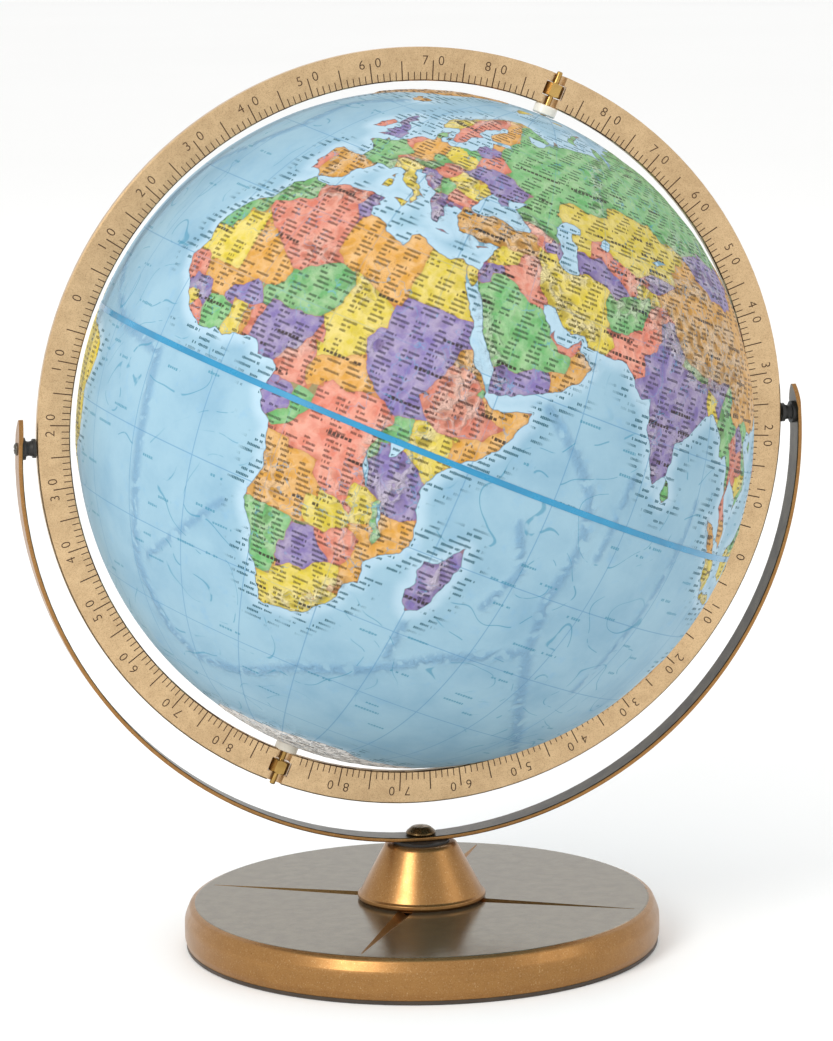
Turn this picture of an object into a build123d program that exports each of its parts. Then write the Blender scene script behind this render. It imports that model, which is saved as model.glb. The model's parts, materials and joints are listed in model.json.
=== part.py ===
"""Desktop globe in a full graduated meridian ring that swings in a half-round yoke.

Millimetres, +Z up, origin at the centre of the base's resting face. The yoke and the ring
lie in the XZ plane and the globe's north pole leans towards +X. The ball, its ring hardware
and the ring are drawn upright about their own centre and then leaned and lifted into place.
"""
from build123d import *
import os
from math import cos, radians, sin, sqrt

# ---- driving dimensions -------------------------------------------------------------------
BALL_RADIUS = 152.4          # a 12 inch ball over the printed map
TILT = 23.5                  # lean of the globe's axis, degrees
CENTRE_HEIGHT = 237.5        # ball centre above the table

MAP_THICKNESS = 0.5
BOARD_THICKNESS = 2.0
JOINT_RING_THICKNESS = 2.0
JOINT_RING_HALF_WIDTH = 12.0
TAPE_HALF_WIDTH = 1.3
TAPE_THICKNESS = 0.2

RING_INNER_RADIUS = 157.2
RING_OUTER_RADIUS = 172.2
RING_THICKNESS = 4.4
RING_EDGE = 0.6              # chamfer of the ring's edges
CHANNEL_WIDTH = 7.0          # open channel across the ring at each pole
CHANNEL_WEB = 0.8            # metal left behind the channel
WINDOW_WIDTH = 9.6           # window that traps the axle nut
WINDOW_LENGTH = 6.6

AXLE_RADIUS = 1.3
AXLE_INNER_END = 144.5       # distance from the ball centre
AXLE_OUTER_END = 173.4
RUNNING_CLEARANCE = 0.05
NUT_ACROSS_FLATS = 8.0
NUT_LENGTH = 6.0
POLE_SPACER_RADIUS = 5.3
POLE_SPACER_GAP = 0.35
BUSH_RADIUS = 3.0
BUSH_FLANGE_RADIUS = 8.0
BUSH_INNER_END = 143.0

YOKE_RADIUS = 181.0          # outside of the strip
YOKE_THICKNESS = 2.0
YOKE_WIDTH = 12.5
YOKE_DROP = 8.5              # strip's arc centre below the ball centre
YOKE_TIP = 13.0              # tip above the pivot
PIVOT_JOURNAL_RADIUS = 1.25
PIVOT_SHANK_RADIUS = 1.6
PIVOT_HEAD_RADIUS = 2.9
PIVOT_HEAD_HEIGHT = 1.3
PIVOT_JOURNAL_END = 163.5    # distance of the journal's end from the swing centre
PIVOT_HOLE_END = 163.1
SWING_GAP = 0.35             # between the ring's edge and the inner washer

BASE_RADIUS = 109.0
BASE_HEIGHT = 20.5
SHEET = 1.2
TRIM_HEIGHT = 2.0
TRIM_WIDTH = 3.4
TRIM_UPSTAND = 5.0
COVER_BOTTOM = 0.8
COVER_THICKNESS = 1.0
CREASE_COUNT = 4
CREASE_ANGLE = -28.5         # first crease, degrees from +X
CREASE_START = 25.0
CREASE_END = 100.0
CREASE_DEPTH = 2.5
CREASE_SLOPE = 1.5           # half width over depth
CREASE_TAIL = 0.08           # depth left at the outer end, as a share of the start

CONE_FOOT_RADIUS = 29.4
CONE_TOP_RADIUS = 16.0
CONE_TOP = 47.0
SADDLE_RADIUS = 13.0
BALLAST_RADIUS = 82.0
BALLAST_BOTTOM = 9.0
BALLAST_TOP = 16.0
BALLAST_BOSS_RADIUS = 22.0
BOLT_RADIUS = 3.0
BOLT_HOLE_RADIUS = 3.15
BOLT_END = 2.2
BOLT_NUT_ACROSS_FLATS = 10.0
BOLT_NUT_BOTTOM = 2.6
BOLT_NUT_TOP = 7.6
LOCK_WASHER_RADIUS = 6.0
DOME_RADIUS = 7.0
DOME_HEIGHT = 4.6

YOKE_CENTRE = CENTRE_HEIGHT - YOKE_DROP
YOKE_FLOOR = YOKE_CENTRE - YOKE_RADIUS + YOKE_THICKNESS
BOARD_RADIUS = BALL_RADIUS - MAP_THICKNESS
CAVITY_RADIUS = BOARD_RADIUS - BOARD_THICKNESS


# ---- small helpers ------------------------------------------------------------------------
def turned(points, radii=()):
    """Solid of revolution about Z from (radius, height) points; radii rounds named corners."""
    outline = Plane.XZ * make_face(Polyline(*points, close=True))
    for corner, radius in radii:
        spot = Vector(points[corner][0], 0, points[corner][1])
        nearest = min(outline.vertices(), key=lambda vertex: (Vector(*vertex) - spot).length)
        outline = fillet(nearest, radius)
    return revolve(outline, Axis.Z)


def rod(radius, low, high):
    """Upright cylinder between two heights."""
    return Pos(0, 0, (low + high) / 2) * Cylinder(radius, high - low)


def tube(outer, inner, low, high):
    return rod(outer, low, high) - rod(inner, low - 1, high + 1)


def hexagon(across_flats, low, high):
    """Upright hexagonal prism with its flats facing +Y and -Y and its corners rounded off."""
    prism = extrude(RegularPolygon(across_flats / 2, 6, major_radius=False), high - low)
    rounding = turned([(0, low), (across_flats * 0.5, low), (across_flats * 0.6, low + 0.8),
                       (across_flats * 0.6, high - 0.8), (across_flats * 0.5, high), (0, high)])
    return Pos(0, 0, low) * prism & rounding


def leaned(shape):
    """From the globe's own upright frame to its place in the stand."""
    return Pos(0, 0, CENTRE_HEIGHT) * Rot(0, TILT, 0) * shape


def sideways(shape, side):
    """Turns a shape drawn along +Z to point along +X (side 1) or -X (side -1) at the pivots."""
    return Pos(0, 0, CENTRE_HEIGHT) * Rot(0, 90 * side, 0) * shape


def flipped(shape, pole):
    """The north pole's shape, or its copy at the south pole."""
    return shape if pole > 0 else Rot(180, 0, 0) * shape


# ---- base ---------------------------------------------------------------------------------
def drum(inset, low):
    """Outer form of the base, set in by a distance."""
    points = [(0, low), (BASE_RADIUS - 0.9 - inset, low), (BASE_RADIUS - inset, 5.0),
              (BASE_RADIUS - inset, 13.5 - 0.3 * inset),
              (BASE_RADIUS - 2.4 - 0.9 * inset, 19.4 - 0.7 * inset),
              (BASE_RADIUS - 5.0 - 0.4 * inset, BASE_HEIGHT - inset), (0, BASE_HEIGHT - inset)]
    return turned(points, ((2, 4.0), (3, 8.0), (4, 2.0), (5, 2.2)))


def crease(angle, drop):
    """Tapering V cutter for one pressed crease; drop lowers it to make the sheet's underside."""
    rise = drop + 0.6
    sections = []
    for radius, share in ((CREASE_START, 1.0), (CREASE_END, CREASE_TAIL)):
        depth = CREASE_DEPTH * share
        half = (depth + rise) * CREASE_SLOPE
        outline = Polyline((-half, rise), (half, rise), (0, -depth), close=True)
        sections.append(Plane((radius, 0, BASE_HEIGHT - drop), (0, 1, 0), (1, 0, 0)) * make_face(outline))
    return Rot(0, 0, angle) * loft(sections, ruled=True)


def base_shell():
    body = drum(0, TRIM_HEIGHT)
    hollow = drum(SHEET, TRIM_HEIGHT - 1)
    underside_drop = SHEET * sqrt(1 + 1 / CREASE_SLOPE ** 2)
    for number in range(CREASE_COUNT):
        angle = CREASE_ANGLE + number * 360 / CREASE_COUNT
        body -= crease(angle, 0)
        hollow -= crease(angle, underside_drop)
    return body - hollow - rod(BOLT_HOLE_RADIUS, 0, BASE_HEIGHT + 1)


def rim_trim():
    inner = BASE_RADIUS - TRIM_WIDTH
    wall = BASE_RADIUS - SHEET - 0.9
    return turned([(inner, 0), (BASE_RADIUS - 1.4, 0), (BASE_RADIUS - 0.7, 0.6),
                   (BASE_RADIUS - 0.7, TRIM_HEIGHT), (wall, TRIM_HEIGHT), (wall, TRIM_UPSTAND),
                   (inner, TRIM_UPSTAND)])


def bottom_cover():
    return rod(BASE_RADIUS - TRIM_WIDTH, COVER_BOTTOM, COVER_BOTTOM + COVER_THICKNESS)


def ballast_plate():
    top = BASE_HEIGHT - SHEET
    points = [(BOLT_HOLE_RADIUS, BALLAST_BOTTOM), (BALLAST_RADIUS, BALLAST_BOTTOM),
              (BALLAST_RADIUS, BALLAST_TOP), (BALLAST_BOSS_RADIUS + 2, BALLAST_TOP),
              (BALLAST_BOSS_RADIUS, top), (BOLT_HOLE_RADIUS, top)]
    return turned(points, ((1, 1.0), (2, 1.0)))


def lock_washer():
    return tube(LOCK_WASHER_RADIUS, BOLT_HOLE_RADIUS, BOLT_NUT_TOP, BALLAST_BOTTOM)


def bolt_nut():
    return hexagon(BOLT_NUT_ACROSS_FLATS, BOLT_NUT_BOTTOM, BOLT_NUT_TOP) - rod(BOLT_RADIUS, 0, BALLAST_TOP)


def pedestal_cone():
    foot = BASE_HEIGHT
    outer = turned([(0, foot), (CONE_FOOT_RADIUS - 1.3, foot), (CONE_FOOT_RADIUS, foot + 1.2),
                    (CONE_FOOT_RADIUS - 0.1, foot + 2.6), (CONE_FOOT_RADIUS - 1.2, foot + 3.4),
                    (CONE_TOP_RADIUS, CONE_TOP), (0, CONE_TOP)],
                   ((2, 0.6), (3, 0.5), (4, 0.8), (5, 3.0)))
    inner = turned([(0, foot - 1), (CONE_FOOT_RADIUS - 2.6, foot - 1),
                    (CONE_FOOT_RADIUS - 2.6, foot + 3.4), (CONE_TOP_RADIUS - SHEET, CONE_TOP - SHEET),
                    (0, CONE_TOP - SHEET)], ((3, 1.8),))
    return outer - inner - rod(BOLT_HOLE_RADIUS, foot, CONE_TOP + 1)


# ---- yoke and its fasteners ---------------------------------------------------------------
def yoke_outline():
    """The strip seen along X: straight sides and a pointed, round-nosed tip at its top."""
    half = YOKE_WIDTH / 2
    shoulder = CENTRE_HEIGHT + 1
    nose = CENTRE_HEIGHT + YOKE_TIP
    flank = (half * 0.76, shoulder + (nose - shoulder) * 0.58)
    side = Polyline((-1.0, nose - 0.45), (-1.0, 0), (-half, 0), (-half, shoulder))
    left = ThreePointArc((-half, shoulder), (-flank[0], flank[1]), (-1.0, nose - 0.45))
    half_face = make_face(Wire([*side.edges(), left]))
    middle = Pos(0, (nose - 0.45) / 2) * Rectangle(2.0, nose - 0.45)
    cap = Pos(0, nose - 1.35) * Circle(1.35)
    return half_face + mirror(half_face, Plane.YZ) + middle + cap


def yoke():
    strip = Pos(YOKE_RADIUS - YOKE_THICKNESS / 2, 0) * RectangleRounded(YOKE_THICKNESS, YOKE_WIDTH, 0.6)
    hoop = Pos(0, 0, YOKE_CENTRE) * revolve(strip, Axis.Y)
    prism = extrude(Plane.YZ * yoke_outline(), YOKE_RADIUS + 10, both=True)
    holes = rod(BOLT_HOLE_RADIUS, 40, 60)
    for side in (1, -1):
        holes += sideways(rod(PIVOT_SHANK_RADIUS, 170, 190), side)
    return (hoop & prism) - holes


def saddle_washer(strip):
    block = rod(SADDLE_RADIUS, CONE_TOP, CONE_TOP + 4) - rod(BOLT_HOLE_RADIUS, CONE_TOP - 1, CONE_TOP + 5)
    swept = Pos(0, 0, YOKE_CENTRE) * Rot(90, 0, 0) * Cylinder(YOKE_RADIUS, 80)
    return block - swept - strip


def tie_bolt(strip):
    """Dome headed bolt that clamps the yoke, cone, base and ballast together."""
    seat = YOKE_FLOOR - 0.3
    top = YOKE_FLOOR + DOME_HEIGHT
    dome = turned([(0, seat), (DOME_RADIUS - 0.9, seat), (DOME_RADIUS, YOKE_FLOOR + 1.0),
                   (DOME_RADIUS - 0.5, YOKE_FLOOR + 1.9), (DOME_RADIUS * 0.6, top - 0.7), (0, top)],
                  ((2, 0.5), (3, 2.0), (4, 3.0)))
    shank = turned([(0, BOLT_END), (BOLT_RADIUS - 0.6, BOLT_END), (BOLT_RADIUS, BOLT_END + 0.6),
                    (BOLT_RADIUS, YOKE_FLOOR), (0, YOKE_FLOOR)])
    return (dome - strip) + shank


# ---- swing pivots -------------------------------------------------------------------------
def pivot_screw(side, strip):
    """Shouldered screw: a low round head outside the yoke and a journal in the ring's edge."""
    inside = RING_OUTER_RADIUS + SWING_GAP
    outside = sqrt(YOKE_RADIUS ** 2 - YOKE_DROP ** 2)
    journal = turned([(0, PIVOT_JOURNAL_END), (PIVOT_JOURNAL_RADIUS - 0.3, PIVOT_JOURNAL_END),
                      (PIVOT_JOURNAL_RADIUS, PIVOT_JOURNAL_END + 0.3),
                      (PIVOT_JOURNAL_RADIUS, inside), (0, inside)])
    shank = rod(PIVOT_SHANK_RADIUS, inside, outside)
    end = outside + PIVOT_HEAD_HEIGHT
    head = turned([(0, outside - 0.6), (PIVOT_HEAD_RADIUS, outside - 0.6),
                   (PIVOT_HEAD_RADIUS, outside + 0.5), (PIVOT_HEAD_RADIUS * 0.6, end), (0, end)],
                  ((2, 0.5), (3, 0.8)))
    head -= Pos(0, 0, end) * Box(0.7, 2 * PIVOT_HEAD_RADIUS + 1, 1.0)
    return (sideways(head, side) - strip) + sideways(journal + shank, side)


def pivot_washers(side, strip):
    """A thin washer against the yoke and a smaller one beside the ring."""
    near_yoke = sqrt((YOKE_RADIUS - YOKE_THICKNESS) ** 2 - YOKE_DROP ** 2)
    outer = sideways(tube(5.0, PIVOT_SHANK_RADIUS, near_yoke - 1.6, near_yoke + 0.6), side) - strip
    gap_edge = RING_OUTER_RADIUS + SWING_GAP
    inner = sideways(tube(4.3, PIVOT_SHANK_RADIUS, gap_edge, gap_edge + 1.4), side)
    return Compound(children=[*outer.solids()[:1], *inner.solids()])


def pivot_spacer(side):
    near_yoke = sqrt((YOKE_RADIUS - YOKE_THICKNESS) ** 2 - YOKE_DROP ** 2)
    low = RING_OUTER_RADIUS + SWING_GAP + 1.4
    high = near_yoke - 1.6
    waist = (low + high) / 2
    points = [(PIVOT_SHANK_RADIUS, low), (3.6, low), (3.2, waist), (3.6, high), (PIVOT_SHANK_RADIUS, high)]
    return sideways(turned(points, ((2, 1.0),)), side)


# ---- meridian ring ------------------------------------------------------------------------
def meridian_ring():
    half = RING_THICKNESS / 2
    section = make_face(Polyline(
        (RING_INNER_RADIUS + RING_EDGE, -half), (RING_OUTER_RADIUS - RING_EDGE, -half),
        (RING_OUTER_RADIUS, -half + RING_EDGE), (RING_OUTER_RADIUS, half - RING_EDGE),
        (RING_OUTER_RADIUS - RING_EDGE, half), (RING_INNER_RADIUS + RING_EDGE, half),
        (RING_INNER_RADIUS, half - RING_EDGE), (RING_INNER_RADIUS, -half + RING_EDGE), close=True))
    ring = revolve(section, Axis.Y)
    middle = (RING_INNER_RADIUS + RING_OUTER_RADIUS) / 2
    depth = RING_THICKNESS - CHANNEL_WEB
    channel = Pos(0, -CHANNEL_WEB / 2 - 0.5, middle) * Box(CHANNEL_WIDTH, depth + 1, 30)
    window = Pos(0, 0, middle) * Box(WINDOW_WIDTH, 20, WINDOW_LENGTH)
    for pole in (1, -1):
        ring -= channel if pole > 0 else Rot(0, 180, 0) * channel
        ring -= flipped(window, pole)
    ring = leaned(ring)
    for side in (1, -1):
        hole = rod(PIVOT_JOURNAL_RADIUS + RUNNING_CLEARANCE, PIVOT_HOLE_END, RING_OUTER_RADIUS + 5)
        ring -= sideways(hole, side)
    return ring


def axle_pin(pole):
    pin = turned([(0, AXLE_INNER_END), (AXLE_RADIUS - 0.4, AXLE_INNER_END),
                  (AXLE_RADIUS, AXLE_INNER_END + 0.4), (AXLE_RADIUS, AXLE_OUTER_END - 0.4),
                  (AXLE_RADIUS - 0.4, AXLE_OUTER_END), (0, AXLE_OUTER_END)])
    return leaned(flipped(pin, pole))


def axle_nut(pole):
    middle = (RING_INNER_RADIUS + RING_OUTER_RADIUS) / 2
    nut = hexagon(NUT_ACROSS_FLATS, middle - NUT_LENGTH / 2, middle + NUT_LENGTH / 2)
    return leaned(flipped(nut - rod(AXLE_RADIUS, 0, AXLE_OUTER_END), pole))


def pole_spacer(pole):
    low = BALL_RADIUS + POLE_SPACER_GAP
    high = RING_INNER_RADIUS - 0.15
    points = [(AXLE_RADIUS, low), (POLE_SPACER_RADIUS - 0.5, low), (POLE_SPACER_RADIUS, low + 0.5),
              (POLE_SPACER_RADIUS, high - 0.4), (POLE_SPACER_RADIUS - 0.4, high), (AXLE_RADIUS, high)]
    return leaned(flipped(turned(points), pole))


# ---- ball ---------------------------------------------------------------------------------
def half_shell(outer, inner, pole, hole):
    """Northern or southern half of a hollow ball, open at its pole for the bush."""
    shell = Sphere(outer) - Sphere(inner)
    half = shell & Pos(0, 0, outer) * Box(3 * outer, 3 * outer, 2 * outer)
    return leaned(flipped(half - rod(hole, 0, outer + 1), pole))


def band(outer, inner, half_width):
    """Part of a hollow ball within a distance of the equator's plane."""
    shell = Sphere(outer) - Sphere(inner)
    return leaned(shell & Box(3 * outer, 3 * outer, 2 * half_width))


def pole_bush(pole):
    """Sleeve that carries the ball on its axle, with a flange glued inside the shell."""
    flange = rod(BUSH_FLANGE_RADIUS, CAVITY_RADIUS - 2.4, CAVITY_RADIUS + 1) & Sphere(CAVITY_RADIUS)
    sleeve = rod(BUSH_RADIUS, BUSH_INNER_END, BALL_RADIUS - 0.05)
    bore = rod(AXLE_RADIUS + RUNNING_CLEARANCE, BUSH_INNER_END - 1, BALL_RADIUS + 1)
    return leaned(flipped(flange + sleeve - bore, pole))


def assembly():
    """Every sub-part by name."""
    strip = yoke()
    parts = {
        "rim_trim": rim_trim(), "base_shell": base_shell(), "bottom_cover": bottom_cover(),
        "ballast_plate": ballast_plate(), "lock_washer": lock_washer(), "bolt_nut": bolt_nut(),
        "pedestal_cone": pedestal_cone(), "saddle_washer": saddle_washer(strip),
        "yoke": strip, "tie_bolt": tie_bolt(strip), "meridian_ring": meridian_ring(),
        "equator_joint_ring": band(CAVITY_RADIUS, CAVITY_RADIUS - JOINT_RING_THICKNESS,
                                   JOINT_RING_HALF_WIDTH),
        "equator_tape": band(BALL_RADIUS + TAPE_THICKNESS, BALL_RADIUS, TAPE_HALF_WIDTH),
    }
    for name, side in (("left", -1), ("right", 1)):
        parts[f"pivot_screw_{name}"] = pivot_screw(side, strip)
        parts[f"pivot_washers_{name}"] = pivot_washers(side, strip)
        parts[f"pivot_spacer_{name}"] = pivot_spacer(side)
    for name, pole in (("north", 1), ("south", -1)):
        parts[f"{name}_axle_pin"] = axle_pin(pole)
        parts[f"{name}_axle_nut"] = axle_nut(pole)
        parts[f"{name}_pole_spacer"] = pole_spacer(pole)
        parts[f"{name}_hemisphere"] = half_shell(BOARD_RADIUS, CAVITY_RADIUS, pole, BUSH_RADIUS)
        parts[f"{name}_map_skin"] = half_shell(BALL_RADIUS, BOARD_RADIUS, pole, BUSH_RADIUS)
        parts[f"{name}_pole_bush"] = pole_bush(pole)
    return parts


os.makedirs("parts", exist_ok=True)
for node, shape in assembly().items():
    export_step(shape, f"parts/{node}.step")
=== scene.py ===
import json
import math

import bmesh
import bpy
import numpy as np
from mathutils import Matrix, Vector, geometry, kdtree, noise


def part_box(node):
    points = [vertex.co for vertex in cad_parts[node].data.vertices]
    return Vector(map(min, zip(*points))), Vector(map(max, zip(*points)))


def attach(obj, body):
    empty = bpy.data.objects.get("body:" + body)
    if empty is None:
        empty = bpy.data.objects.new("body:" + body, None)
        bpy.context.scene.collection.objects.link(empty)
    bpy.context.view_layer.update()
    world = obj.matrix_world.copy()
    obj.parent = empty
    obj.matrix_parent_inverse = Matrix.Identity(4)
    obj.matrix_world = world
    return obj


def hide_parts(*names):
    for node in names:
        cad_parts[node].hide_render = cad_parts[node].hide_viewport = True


bl_info = {
    "name": "Desktop globe looks",
    "version": (1, 0, 0),
    "blender": (4, 5, 0),
    "location": "3D View > Sidebar > Globe",
    "description": "Printed relief map, stamped meridian ring and painted stand of a desktop globe",
    "category": "Object",
}

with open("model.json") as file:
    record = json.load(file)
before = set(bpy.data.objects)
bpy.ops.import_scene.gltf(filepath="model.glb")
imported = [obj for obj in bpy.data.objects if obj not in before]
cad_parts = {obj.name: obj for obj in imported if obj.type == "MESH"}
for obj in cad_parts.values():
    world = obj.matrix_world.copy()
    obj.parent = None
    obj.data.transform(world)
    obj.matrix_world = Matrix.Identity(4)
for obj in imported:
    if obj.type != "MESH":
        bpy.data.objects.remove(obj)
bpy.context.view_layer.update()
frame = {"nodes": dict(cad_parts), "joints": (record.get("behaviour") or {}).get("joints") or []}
JOINTS = {j["name"]: j for j in frame["joints"]}
CENTRE = np.array(JOINTS["globe_spin"]["pos_m"], float)
POLE = np.array(JOINTS["globe_spin"]["axis"], float)
POLE = POLE / np.linalg.norm(POLE)
EAST = np.cross([0.0, 1.0, 0.0], POLE)
TURN = np.array([EAST, [0.0, 1.0, 0.0], POLE])
SKIN_RADIUS = (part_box("north_map_skin")[1].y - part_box("north_map_skin")[0].y) / 2
RING_LOW, RING_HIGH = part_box("meridian_ring")
RING_OUTER = (RING_HIGH.x - RING_LOW.x) / 2
RING_FACE = RING_HIGH.y
RING_INNER = RING_OUTER - 0.015
MM = 0.001
LINE_SEED = 11  # keeps the lines' natural bends the same on every run

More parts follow.
